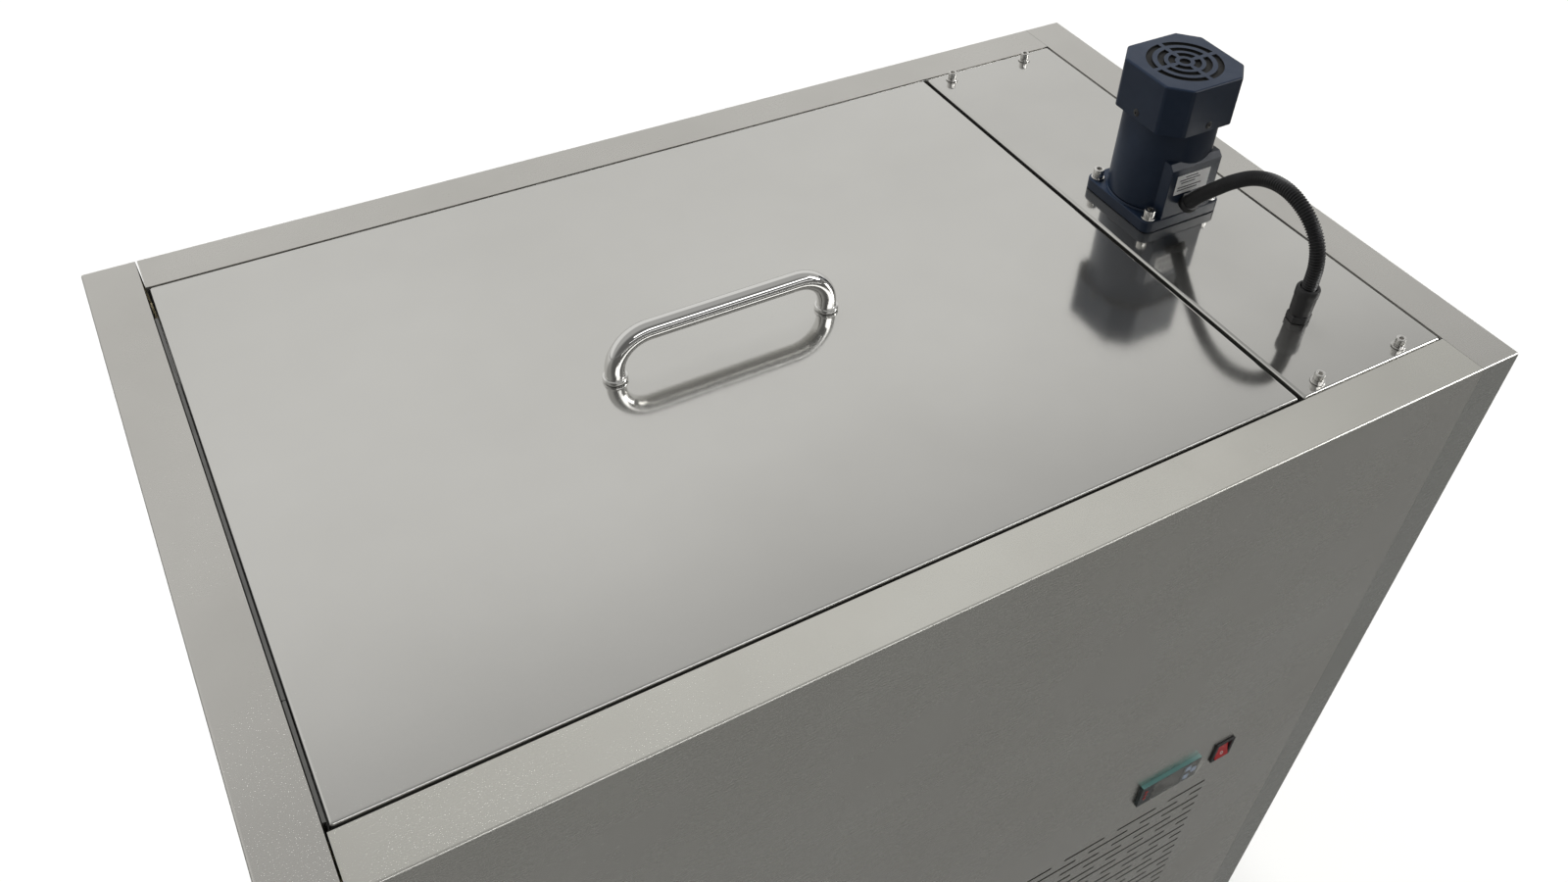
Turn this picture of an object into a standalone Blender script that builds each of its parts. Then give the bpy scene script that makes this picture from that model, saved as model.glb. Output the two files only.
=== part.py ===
"""Small rectangular bulk milk tank with a hinged lid, a top-mounted stirrer and its own cooling unit.

Everything is placed in the corner frame: its origin is the cabinet's top front left corner, x runs
right, y runs back and z runs up from the top surface. One empty carries that frame, and puts the
centre of the tank's footprint at the world's origin, with the floor at z = 0. Units are metres.
"""

import math

import bmesh
import bpy
from mathutils import Matrix, Vector

for leftover in list(bpy.data.objects):
    bpy.data.objects.remove(leftover, do_unlink=True)

# Cabinet
WIDTH = 1.000
DEPTH = 0.627
SHELL_HEIGHT = 0.970
TOP_HEIGHT = 1.050  # top surface above the floor
SHEET = 0.0015
GAP = 0.0003  # between pieces that touch
RIM_LEFT = 0.0413
RIM_RIGHT = 0.0440
RIM_FRONT = 0.0430
RIM_BACK = 0.0410
LEFT_SEAM = 0.0015
RIGHT_SEAM = 0.0004
RETURN_DEPTH = 0.040
LEDGE_REACH = 0.0155
LEDGE_CLEAR = 0.017  # the front and back ledges stop this far inside the side rims
TRAY_HEIGHT = 0.018
FRONT_REACH = 0.085  # the outlet's mouth in front of the cabinet
BACK_REACH = 0.018  # the power gland behind it
FOOT_X = (0.060, 0.940)
FOOT_Y = (0.060, 0.567)
FOAM_COLOUR = (0.85, 0.78, 0.55)
FOAM_Z = (-0.432, -0.042)
FOAM_CLEAR = 0.004  # between the foam and the cabinet's walls

# Vat
VAT_INSET = 0.0602
VAT_DEPTH = 0.385
VAT_CORNER = 0.030
VAT_FLANGE_Z = -0.0367

# Lid and the fixed strip beside it
LID_X = (0.0448, 0.7945)
LID_Y = (0.0460, 0.5850)
LID_SKIRT = 0.027
LID_SHEET = 0.0012
STRIP_X = (0.7990, 0.9550)
STRIP_Y = (0.0440, 0.5855)
STRIP_PLATE = 0.002
STRIP_LEDGE_X = 0.7720
STRIP_SCREW_X = (0.8220, 0.9145)
STRIP_SCREW_Y = (0.0540, 0.5730)
HINGE_X = 0.0430
HINGE_Z = -0.00145
HINGE_SPAN = (0.0500, 0.5430)
HINGE_JOINTS = (0.1410, 0.4570)
KNUCKLE_R = 0.00145
PIN_R = 0.0008
LEAF_THICK = 0.0007
LEAF_GAP = 0.0002
LEAF_LOW = -0.020
SCREW_R = 0.0024
BOLT_HOLE_R = 0.0032
HANDLE_X = (0.3330, 0.5200)
HANDLE_Y = 0.3120
HANDLE_Z = 0.0382
HANDLE_R = 0.008
HANDLE_BEND = 0.030

# Stirrer drive
MOTOR = (0.8690, 0.3135)
FLANGE_SIDE = 0.088
FLANGE_TOP = 0.013
BOLT_OFFSET = 0.036
MOTOR_R = 0.042
MOTOR_TOP = 0.0946
COVER_SIDE = 0.0875
COVER_CHAMFER = 0.017
COVER_Z = (0.0949, 0.1394)
GRILLE_RINGS = ((0.0086, 0.0144), (0.0180, 0.0236), (0.0280, 0.0335))
PAD_X = (0.8410, 0.8980)
PAD_Y = 0.2700
PAD_TOP = 0.066
SHAFT_R = 0.006
SHAFT_BORE = 0.0066
SPIGOT_R = 0.030  # the flange's spigot, in the strip and the gearhead
GEAR_HALF = 0.042
GEAR_LOW = -0.064
STIRRER_END = -0.372
BLADE_REACH = 0.055

# Conduit from the strip to the motor
CONDUIT_R = 0.0065
GLAND = (0.8650, 0.1195)
CONDUIT_ROUTE = (
    (0.8650, 0.1195, 0.0125), (0.8650, 0.1195, 0.0240), (0.8650, 0.1194, 0.0370), (0.8651, 0.1205, 0.0540),
    (0.8652, 0.1257, 0.0695), (0.8653, 0.1360, 0.0820), (0.8654, 0.1510, 0.0915), (0.8655, 0.1690, 0.0963),
    (0.8656, 0.1880, 0.0946), (0.8657, 0.2070, 0.0860), (0.8658, 0.2255, 0.0710), (0.8659, 0.2412, 0.0545),
    (0.8660, 0.2540, 0.0402), (0.86600, 0.26496, 0.02609),
)
ENTRY = (0.8660, 0.2700, 0.0195)  # where the conduit's spigot leaves the wiring box
ENTRY_LEAN = 37.4  # degrees from upright, towards the front
ENTRY_LENGTH = 0.008

# Controls on the front
THERMOSTAT_X = (0.7173, 0.7945)
THERMOSTAT_Z = (-0.4865, -0.4520)
SWITCH_X = (0.8170, 0.8425)
SWITCH_Z = (-0.4860, -0.4550)
ROCKER_TILT = -10.0  # degrees from level at rest, with the upper end pressed in
ROCKER_PIVOT_Y = 0.0030
BEZEL_OVERLAP = 0.003  # how far the thermostat's bezel covers the panel round its cut-out
SWITCH_OVERLAP = 0.002
WINDOW_X = (0.7343, 0.7722)
WINDOW_Z = (-0.4819, -0.4571)
KEYS = ((0.7790, -0.4768), (0.7790, -0.4622), (0.7875, -0.4695))
KEY_HALF = (0.0034, 0.0039)

# Vent slots on the front and back
SLOT_LENGTH = 0.0520
SLOT_HEIGHT = 0.0034
SLOT_PITCH_X = 0.0677
SLOT_PITCH_Z = 0.0156
SLOT_RIGHT = 0.8270
SLOT_TOP = -0.5300
FRONT_SLOTS = (17, 6)  # rows and columns
BACK_SLOTS = (9, 4)

# Cooling unit
COMPRESSOR = (0.300, 0.340)
COMPRESSOR_R = 0.080
CONDENSER_LO = (0.470, 0.045, -0.790)
CONDENSER_HI = (0.820, 0.085, -0.520)
FAN_CENTRE = (0.645, 0.150, -0.655)
FAN_R = 0.098
DRIER = (0.880, -0.600)
DRIER_Y = (0.120, 0.240)
PIPE_R = 0.004
COIL_Z = -0.392
COIL_RUNS = (0.190, 0.258, 0.326, 0.394, 0.462, 0.530)
COIL_X = (0.120, 0.900)
COIL_TURN_Y = 0.300  # where the coil's feed rises from the drier
RETURN_Z = -0.850  # where the coil's return reaches the compressor
POWER_CABLE = (0.900, -0.900)

# Milk outlet
OUTLET_X = 0.150
OUTLET_Z = -0.500
DRAIN_Y = 0.130
OUTLET_R = 0.019
OUTLET_BORE = 0.0165
VALVE_Y = -0.047
BALL_R = 0.0205
LEVER_REACH = 0.110

ROUND = 20
FINE = 28


def make_corner():
    """The empty that carries the corner frame."""
    corner = bpy.data.objects.new("cabinet_corner", None)
    corner.location = (-WIDTH / 2, (FRONT_REACH - DEPTH - BACK_REACH) / 2, TOP_HEIGHT)
    bpy.context.scene.collection.objects.link(corner)
    return corner


CORNER = make_corner()


def material(name, colour, roughness, metallic=0.0):
    mat = bpy.data.materials.new(name)
    mat.use_nodes = True
    shader = mat.node_tree.nodes["Principled BSDF"]
    shader.inputs["Base Color"].default_value = (*colour, 1.0)
    shader.inputs["Roughness"].default_value = roughness
    shader.inputs["Metallic"].default_value = metallic
    return mat


STAINLESS = (0.62, 0.61, 0.58)


def steel(name, roughness=0.28):
    return material(name, STAINLESS, roughness, 1.0)


def navy(name):
    return material(name, (0.030, 0.044, 0.066), 0.55)


def black(name, roughness=0.5):
    return material(name, (0.012, 0.012, 0.013), roughness)


def copper(name):
    return material(name, (0.80, 0.40, 0.26), 0.35, 1.0)


def as_object(name, mesh_maker, mat=None, origin=(0, 0, 0)):
    """Turns a bmesh into an object whose origin is at a point of the corner frame."""
    bmesh.ops.recalc_face_normals(mesh_maker, faces=mesh_maker.faces)
    bmesh.ops.translate(mesh_maker, verts=mesh_maker.verts, vec=-Vector(origin))
    mesh = bpy.data.meshes.new(name)
    mesh_maker.to_mesh(mesh)
    mesh_maker.free()
    mesh.shade_smooth()
    mesh.set_sharp_from_angle(angle=math.radians(35))
    obj = bpy.data.objects.new(name, mesh)
    obj.location = origin
    obj.parent = CORNER
    bpy.context.scene.collection.objects.link(obj)
    if mat:
        mesh.materials.append(mat)
    return obj


def tool(mesh_makers):
    """A hidden object that holds one or more separate solids, for a Boolean."""
    whole = bmesh.new()
    for maker in mesh_makers:
        bmesh.ops.recalc_face_normals(maker, faces=maker.faces)
        piece = bpy.data.meshes.new("tool_piece")
        maker.to_mesh(piece)
        maker.free()
        whole.from_mesh(piece)
        bpy.data.meshes.remove(piece)
    mesh = bpy.data.meshes.new("tool")
    whole.to_mesh(mesh)
    whole.free()
    obj = bpy.data.objects.new("tool", mesh)
    obj.parent = CORNER
    obj.hide_render = True
    obj.display_type = "WIRE"
    bpy.context.scene.collection.objects.link(obj)
    return obj


def boolean(obj, operation, *mesh_makers):
    modifier = obj.modifiers.new(operation.lower(), "BOOLEAN")
    modifier.operation = operation
    modifier.solver = "EXACT"
    modifier.object = tool(mesh_makers)


def cut(obj, *mesh_makers):
    boolean(obj, "DIFFERENCE", *mesh_makers)


def join(obj, *mesh_makers):
    for maker in mesh_makers:
        boolean(obj, "UNION", maker)


def block(lo, hi, corner=0.0, axis=2, segments=3):
    """A box, with the four edges along one axis rounded to a corner radius."""
    maker = bmesh.new()
    bmesh.ops.create_cube(maker, size=1.0)
    for vert in maker.verts:
        vert.co = [lo[i] if vert.co[i] < 0 else hi[i] for i in range(3)]
    if corner:
        along = [
            edge for edge in maker.edges
            if abs((edge.verts[0].co - edge.verts[1].co).normalized()[axis]) > 0.9
        ]
        bmesh.ops.bevel(
            maker, geom=along, offset=corner, segments=segments, profile=0.5, affect="EDGES"
        )
    return maker


def prism(outline, low, high, axis="Z"):
    """An outline of pairs, extruded from low to high. On axis X the pairs are y and z, on Y x and z."""
    order = {"X": (2, 0, 1), "Y": (0, 2, 1), "Z": (0, 1, 2)}[axis]
    maker = bmesh.new()
    rings = []
    for level in (low, high):
        corners = [(*pair, level) for pair in outline]
        rings.append([maker.verts.new([c[i] for i in order]) for c in corners])
    maker.faces.new(rings[0])
    maker.faces.new(rings[1])
    count = len(outline)
    for i in range(count):
        j = (i + 1) % count
        maker.faces.new((rings[0][i], rings[0][j], rings[1][j], rings[1][i]))
    return maker


def turned(profile, centre=(0, 0, 0), axis="Z", steps=ROUND):
    """A solid of revolution: profile is a closed outline of (radius, height) pairs."""
    turn = {
        "X": Matrix.Rotation(math.radians(90), 4, "Y"),
        "Y": Matrix.Rotation(math.radians(-90), 4, "X"),
        "Z": Matrix.Identity(4),
    }[axis]
    maker = bmesh.new()
    rings = []
    for radius, height in profile:
        angles = [2 * math.pi * i / steps for i in range(steps if radius > 0 else 1)]
        rings.append(
            [maker.verts.new((radius * math.cos(a), radius * math.sin(a), height)) for a in angles]
        )
    for low, high in zip(rings, rings[1:] + rings[:1]):
        if len(low) == len(high) == 1:
            continue
        for i in range(steps):
            j = i + 1
            ends = (low[i % len(low)], low[j % len(low)], high[j % len(high)], high[i % len(high)])
            maker.faces.new(list(dict.fromkeys(ends)))
    maker.transform(Matrix.Translation(centre) @ turn)
    return maker


def rod(radius, low, high, centre=(0, 0, 0), axis="Z", steps=ROUND):
    """A plain cylinder from low to high along its axis."""
    return turned(((0, low), (radius, low), (radius, high), (0, high)), centre, axis, steps)


def filleted(points, radius, segments=4):
    """The points of a route of straight runs, with each corner rounded to a radius."""
    points = [Vector(point) for point in points]
    route = [points[0]]
    for before, corner, after in zip(points, points[1:], points[2:]):
        inward = (corner - before).normalized()
        outward = (after - corner).normalized()
        half = inward.angle(outward) / 2
        start = corner - inward * radius * math.tan(half)
        centre = start + (outward - inward * inward.dot(outward)).normalized() * radius
        axis = inward.cross(outward).normalized()
        for i in range(segments + 1):
            turn = Matrix.Rotation(2 * half * i / segments, 3, axis)
            route.append(centre + turn @ (start - centre))
    route.append(points[-1])
    return route


def swept(route, radius, sides=8):
    """A round bar along a route, closed at both ends."""
    maker = bmesh.new()
    directions = [(b - a).normalized() for a, b in zip(route, route[1:])]
    side = directions[0].orthogonal().normalized()
    rings = []
    for i, point in enumerate(route):
        back = directions[max(i - 1, 0)]
        ahead = directions[min(i, len(directions) - 1)]
        along = (back + ahead).normalized()
        side = (side - along * side.dot(along)).normalized()
        other = along.cross(side)
        stretch = radius / max(math.cos(back.angle(ahead, 0.0) / 2), 0.5)
        angles = [2 * math.pi * k / sides for k in range(sides)]
        rings.append(
            [maker.verts.new(point + stretch * (side * math.cos(a) + other * math.sin(a))) for a in angles]
        )
    maker.faces.new(rings[0])
    maker.faces.new(rings[-1])
    for low, high in zip(rings, rings[1:]):
        for k in range(sides):
            m = (k + 1) % sides
            maker.faces.new((low[k], low[m], high[m], high[k]))
    return maker


def cells(steps):
    """A rectilinear solid: boxes added (+) or taken away (-) in turn, on the grid of their faces."""
    planes = []
    for axis in range(3):
        planes.append(sorted({round(corner[axis], 6) for _, lo, hi in steps for corner in (lo, hi)}))
    middles = [[(a + b) / 2 for a, b in zip(line, line[1:])] for line in planes]
    filled = set()
    for i, x in enumerate(middles[0]):
        for j, y in enumerate(middles[1]):
            for k, z in enumerate(middles[2]):
                inside = False
                for sign, lo, hi in steps:
                    if lo[0] < x < hi[0] and lo[1] < y < hi[1] and lo[2] < z < hi[2]:
                        inside = sign == "+"
                if inside:
                    filled.add((i, j, k))
    maker = bmesh.new()
    corners = {}

    def vertex(key):
        if key not in corners:
            corners[key] = maker.verts.new([planes[axis][key[axis]] for axis in range(3)])
        return corners[key]

    for cell in filled:
        for axis in range(3):
            u, v = (axis + 1) % 3, (axis + 2) % 3
            for side in (0, 1):
                beyond = list(cell)
                beyond[axis] += 2 * side - 1
                if tuple(beyond) in filled:
                    continue
                ring = []
                for du, dv in ((0, 0), (1, 0), (1, 1), (0, 1)):
                    key = list(cell)
                    key[axis] += side
                    key[u] += du
                    key[v] += dv
                    ring.append(vertex(tuple(key)))
                maker.faces.new(ring if side else ring[::-1])
    bmesh.ops.dissolve_limit(maker, angle_limit=math.radians(1), verts=maker.verts, edges=maker.edges)
    return maker


def side_panel(name, wall_x, rim_x, ledge_x):
    """One end of the shell: wall, rim and front and back returns, folded from one sheet."""
    low, high = sorted((wall_x, rim_x))
    inner = sorted((wall_x + math.copysign(SHEET, rim_x - wall_x), rim_x))
    lip = sorted((rim_x - math.copysign(SHEET, rim_x - wall_x), rim_x))
    shelf = sorted((lip[0] if wall_x < rim_x else lip[1], ledge_x))
    y_span = (RIM_FRONT, DEPTH - RIM_BACK)
    steps = [
        ("+", (low, 0, -SHELL_HEIGHT), (high, DEPTH, 0)),
        ("-", (inner[0], SHEET, -SHELL_HEIGHT), (inner[1], DEPTH - SHEET, -SHEET)),
        ("+", (lip[0], y_span[0], -RETURN_DEPTH), (lip[1], y_span[1], -SHEET)),
        ("+", (shelf[0], y_span[0], -RETURN_DEPTH), (shelf[1], y_span[1], SHEET - RETURN_DEPTH)),
    ]
    return as_object(name, cells(steps), steel(name))


def slot_boxes(y_span, rows, columns):
    """The vent slots: rows of slots, each second row shifted by half a pitch."""
    boxes = []
    for row in range(rows):
        z = SLOT_TOP - row * SLOT_PITCH_Z
        for column in range(columns):
            right = SLOT_RIGHT - column * SLOT_PITCH_X - (row % 2) * SLOT_PITCH_X / 2
            lo = (right - SLOT_LENGTH, y_span[0], z - SLOT_HEIGHT / 2)
            boxes.append(("-", lo, (right, y_span[1], z + SLOT_HEIGHT / 2)))
        if row % 2:
            left = SLOT_RIGHT + SLOT_PITCH_X / 2 - SLOT_LENGTH
            lo = (left, y_span[0], z - SLOT_HEIGHT / 2)
            boxes.append(("-", lo, (SLOT_RIGHT, y_span[1], z + SLOT_HEIGHT / 2)))
    return boxes


def wide_panel(name, outer_y, rim_y, slots, cutouts):
    """The front or back of the shell, between the side panels' returns."""
    x_span = (RIM_LEFT + LEFT_SEAM, WIDTH - RIM_RIGHT - RIGHT_SEAM)
    ledge = (RIM_LEFT + LEDGE_CLEAR, WIDTH - RIM_RIGHT - LEDGE_CLEAR)
    inward = math.copysign(1, rim_y - outer_y)
    wall = sorted((outer_y, outer_y + inward * SHEET))
    rim = sorted((outer_y, rim_y))
    lip = sorted((rim_y - inward * SHEET, rim_y))
    shelf = sorted((rim_y - inward * SHEET, rim_y + inward * (LEDGE_REACH - SHEET)))
    steps = [
        ("+", (x_span[0], wall[0], -SHELL_HEIGHT), (x_span[1], wall[1], 0)),
        ("+", (x_span[0], rim[0], -SHEET), (x_span[1], rim[1], 0)),
        ("+", (x_span[0], lip[0], -RETURN_DEPTH), (x_span[1], lip[1], 0)),
        ("+", (ledge[0], shelf[0], -RETURN_DEPTH), (ledge[1], shelf[1], SHEET - RETURN_DEPTH)),
    ]
    through = (wall[0] - SHEET, wall[1] + SHEET)
    steps += slot_boxes(through, *slots)
    for lo, hi in cutouts:
        steps.append(("-", (lo[0], through[0], lo[1]), (hi[0], through[1], hi[1])))
    return as_object(name, cells(steps), steel(name))


def make_shell():
    side_panel("left_side_panel", 0.0, RIM_LEFT, RIM_LEFT + LEDGE_REACH - SHEET)
    right_rim = WIDTH - RIM_RIGHT
    side_panel("right_side_panel", WIDTH, right_rim, right_rim - LEDGE_REACH + SHEET)
    play = 0.0005
    controls = []
    for x, z, overlap in (
        (THERMOSTAT_X, THERMOSTAT_Z, BEZEL_OVERLAP), (SWITCH_X, SWITCH_Z, SWITCH_OVERLAP),
    ):
        inset = overlap - play
        controls.append(((x[0] + inset, z[0] + inset), (x[1] - inset, z[1] - inset)))
    front = wide_panel("front_panel", 0.0, RIM_FRONT, FRONT_SLOTS, controls)
    cut(front, rod(OUTLET_R + 0.001, -0.005, 0.005, (OUTLET_X, 0, OUTLET_Z), "Y", FINE))
    back = wide_panel("back_panel", DEPTH, DEPTH - RIM_BACK, BACK_SLOTS, ())
    cut(back, rod(0.0068, -0.005, 0.005, (POWER_CABLE[0], DEPTH, POWER_CABLE[1]), "Y"))


def make_base():
    """The tray that closes the cabinet's underside."""
    outer = SHEET + GAP
    inner = outer + SHEET
    low = -SHELL_HEIGHT
    top = low + TRAY_HEIGHT
    steps = [
        ("+", (outer, outer, low), (WIDTH - outer, DEPTH - outer, top)),
        ("-", (inner, inner, low + SHEET), (WIDTH - inner, DEPTH - inner, top)),
    ]
    as_object("base_tray", cells(steps), steel("base_tray", 0.4))


def make_feet():
    """Four legs, each a tube with a welded plate and a levelling pad."""
    top = -SHELL_HEIGHT - GAP
    floor = -TOP_HEIGHT
    profile = (
        (0, floor), (0.024, floor), (0.024, floor + 0.004), (0.012, floor + 0.010),
        (0.008, floor + 0.012), (0.008, floor + 0.030), (0.019, floor + 0.030),
        (0.019, top - 0.005), (0.030, top - 0.005), (0.030, top), (0, top),
    )
    for across, x in zip(("left", "right"), FOOT_X):
        for along, y in zip(("front", "back"), FOOT_Y):
            name = f"foot_{along}_{across}"
            as_object(name, turned(profile, (x, y, 0), steps=16), steel(name, 0.35), (x, y, floor))


def make_vat():
    """The inner vat: a welded tub with rounded corners and a flange that rests on the ledges."""
    bottom = -VAT_DEPTH
    back = DEPTH - VAT_INSET
    right = WIDTH - VAT_INSET
    play = 0.0005
    flange_lo = (RIM_LEFT + play, RIM_FRONT + play, VAT_FLANGE_Z - SHEET)
    flange_hi = (WIDTH - RIM_RIGHT - play, DEPTH - RIM_BACK - play, VAT_FLANGE_Z)
    vat = as_object("milk_vat", block(flange_lo, flange_hi), steel("milk_vat", 0.22))
    tub_hi = (right, back, VAT_FLANGE_Z - SHEET / 2)
    join(vat, block((VAT_INSET, VAT_INSET, bottom), tub_hi, VAT_CORNER))
    lo = (VAT_INSET + SHEET, VAT_INSET + SHEET, bottom + SHEET)
    hi = (right - SHEET, back - SHEET, 0.01)
    cut(vat, block(lo, hi, VAT_CORNER - SHEET))
    cut(vat, rod(OUTLET_BORE, bottom - 0.01, bottom + 0.01, (OUTLET_X, DRAIN_Y, 0)))


def make_insulation():
    """The foam round the vat, with a pocket for the coil below it and holes for what passes through."""
    bottom = -VAT_DEPTH
    near = VAT_INSET - GAP
    below = FOAM_Z[0] - 0.01
    pocket_lo = (0.090, 0.160, COIL_Z - PIPE_R - 0.003)
    pocket_hi = (0.930, 0.556, bottom)
    feed = (DRIER[0], COIL_TURN_Y)
    back_pipe = (COIL_X[0] - 0.010, COIL_RUNS[-1])
    steps = [
        ("+", (FOAM_CLEAR, FOAM_CLEAR, FOAM_Z[0]), (WIDTH - FOAM_CLEAR, DEPTH - FOAM_CLEAR, FOAM_Z[1])),
        ("-", (near, near, bottom - GAP), (WIDTH - near, DEPTH - near, 0)),
        ("-", pocket_lo, pocket_hi),
    ]
    for (x, y), half_x, half_y in (
        (feed, 0.008, 0.010), (back_pipe, 0.010, 0.008), ((OUTLET_X, DRAIN_Y), 0.021, 0.021),
    ):
        steps.append(("-", (x - half_x, y - half_y, below), (x + half_x, y + half_y, bottom)))
    as_object("vat_insulation", cells(steps), material("vat_insulation", FOAM_COLOUR, 0.9))


def make_coil():
    """One cooling tube: from the drier, up and to and fro under the vat, and down to the compressor."""
    left, right = COIL_X
    x, z = DRIER
    points = [(x, DRIER_Y[1] + GAP, z), (x, COIL_TURN_Y, z), (x, COIL_TURN_Y, COIL_Z)]
    points.append((x, COIL_RUNS[0], COIL_Z))
    forward = False
    for y, following in zip(COIL_RUNS, COIL_RUNS[1:]):
        end = right - 0.080 if forward else left + 0.020
        points += [(end, y, COIL_Z), (end, following, COIL_Z)]
        forward = not forward
    drop = left - 0.010
    last = COIL_RUNS[-1]
    points += [(drop, last, COIL_Z), (drop, last, RETURN_Z), (drop, COMPRESSOR[1], RETURN_Z)]
    points += [(COMPRESSOR[0] - COMPRESSOR_R - GAP, COMPRESSOR[1], RETURN_Z)]
    route = filleted(points, 0.015, 3)
    as_object("cooling_coil", swept(route, PIPE_R, 6), copper("cooling_coil"))


def make_strip():
    """The fixed cover strip that carries the stirrer's motor, with a ledge for the lid's edge."""
    x, y = STRIP_X, STRIP_Y
    low = VAT_FLANGE_Z + GAP
    steps = [
        ("+", (x[0], y[0], low), (x[1], y[1], 0)),
        ("-", (x[0] + SHEET, y[0] + SHEET, low), (x[1] - SHEET, y[1] - SHEET, -STRIP_PLATE)),
        ("+", (STRIP_LEDGE_X, y[0], low), (x[0] + SHEET, y[1], low + SHEET)),
    ]
    strip = as_object("strip_panel", cells(steps), steel("strip_panel"))
    holes = [rod(SPIGOT_R + 0.001, -0.01, 0.01, (*MOTOR, 0), steps=FINE)]
    holes.append(rod(0.008, -0.01, 0.01, (*GLAND, 0)))
    for sx in STRIP_SCREW_X:
        for sy in STRIP_SCREW_Y:
            holes.append(rod(0.0028, -0.01, 0.01, (sx, sy, 0), steps=12))
    for dx, dy in bolt_places():
        holes.append(rod(BOLT_HOLE_R, -0.01, 0.01, (dx, dy, 0), steps=12))
    cut(strip, *holes)


def bolt_places():
    """The four motor bolts, at the corners of a square round the motor's axis."""
    return [
        (MOTOR[0] + sx * BOLT_OFFSET, MOTOR[1] + sy * BOLT_OFFSET) for sx in (-1, 1) for sy in (-1, 1)
    ]


def make_strip_screws():
    """Cap screws with a plain washer under the head."""
    profile = (
        (0, -0.012), (SCREW_R, -0.012), (SCREW_R, GAP), (0.00615, GAP), (0.00615, 0.0018), (0.00425, 0.0018),
        (0.00425, 0.0082), (0.0038, 0.0087), (0.0021, 0.0087), (0.0021, 0.0060), (0, 0.0060),
    )
    number = 1
    for x in STRIP_SCREW_X:
        for y in STRIP_SCREW_Y:
            name = f"strip_screw_{number}"
            as_object(name, turned(profile, (x, y, 0), steps=14), steel(name, 0.3), (x, y, 0))
            number += 1


def make_lid():
    """The lid: a folded skin over foam, closed below by a liner with a gasket."""
    pivot = (HINGE_X, sum(LID_Y) / 2, HINGE_Z)
    x, y = LID_X, LID_Y
    inside = LID_SHEET
    fit = LID_SHEET + GAP
    steps = [
        ("+", (x[0], y[0], -LID_SKIRT), (x[1], y[1], 0)),
        ("-", (x[0] + inside, y[0] + inside, -LID_SKIRT), (x[1] - inside, y[1] - inside, -LID_SHEET)),
    ]
    as_object("lid_skin", cells(steps), steel("lid_skin"), pivot)
    liner_top = SHEET - LID_SKIRT
    liner = block((x[0] + fit, y[0] + fit, -LID_SKIRT), (x[1] - fit, y[1] - fit, liner_top))
    as_object("lid_liner", liner, steel("lid_liner"), pivot)
    foam = block((x[0] + fit, y[0] + fit, liner_top + GAP), (x[1] - fit, y[1] - fit, -LID_SHEET - GAP))
    as_object("lid_insulation", foam, material("lid_insulation", FOAM_COLOUR, 0.9), pivot)
    edge, wide = 0.0035, 0.009
    low, high = VAT_FLANGE_Z + GAP, -LID_SKIRT - GAP
    lo, hi = (x[0] + edge, y[0] + edge), (x[1] - edge, y[1] - edge)
    steps = [
        ("+", (*lo, low), (*hi, high)),
        ("-", (lo[0] + wide, lo[1] + wide, low), (hi[0] - wide, hi[1] - wide, high)),
        ("-", (STRIP_LEDGE_X - 0.001, lo[1], low), (hi[0], hi[1], low + SHEET + GAP)),
    ]
    as_object("lid_gasket", cells(steps), material("lid_gasket", (0.55, 0.55, 0.53), 0.6), pivot)


def make_handle():
    """A bent tube that stands on the lid, with a collar round each end."""
    left, right = HANDLE_X
    y = HANDLE_Y
    foot = GAP
    points = [(left, y, foot), (left, y, HANDLE_Z), (right, y, HANDLE_Z), (right, y, foot)]
    bar = swept(filleted(points, HANDLE_BEND, 5), HANDLE_R, 14)
    handle = as_object("lid_handle", bar, steel("lid_handle", 0.08))
    for x in HANDLE_X:
        join(handle, rod(HANDLE_R + 0.002, foot, foot + 0.004, (x, y, 0)))


def knuckle(low, high):
    return rod(KNUCKLE_R, low, high, (HINGE_X, 0, HINGE_Z), "Y", 12)


def make_hinge():
    """A long butt hinge between the left rim and the lid, with its pin."""
    first, last = HINGE_SPAN
    near, far = HINGE_JOINTS
    play = 0.0003
    bore = 0.0009
    leaf_x = RIM_LEFT + LEAF_GAP
    cabinet_x = (leaf_x, leaf_x + LEAF_THICK)
    axis = (HINGE_X, (first + last) / 2, HINGE_Z)
    plate = block((cabinet_x[0], first, LEAF_LOW), (cabinet_x[1], last, -0.008))
    fixed = as_object("hinge_cabinet_leaf", plate, steel("hinge_cabinet_leaf"))
    for a, b in ((first, near - play), (far + play, last)):
        join(fixed, block((cabinet_x[0], a, -0.009), (cabinet_x[1], b, HINGE_Z)), knuckle(a, b))
    cut(fixed, rod(bore, first - 0.01, last + 0.01, (HINGE_X, 0, HINGE_Z), "Y", 12))
    lid_x = (LID_X[0] - GAP - LEAF_THICK, LID_X[0] - GAP)
    plate = block((lid_x[0], near + play, LEAF_LOW), (lid_x[1], far - play, HINGE_Z))
    moving = as_object("hinge_lid_leaf", plate, steel("hinge_lid_leaf"), axis)
    join(moving, knuckle(near + play, far - play))
    cut(moving, rod(bore, near - 0.01, far + 0.01, (HINGE_X, 0, HINGE_Z), "Y", 12))
    pin = rod(PIN_R, first + 0.0005, last - 0.0005, (HINGE_X, 0, HINGE_Z), "Y", 12)
    as_object("hinge_pin", pin, steel("hinge_pin"))


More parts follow.
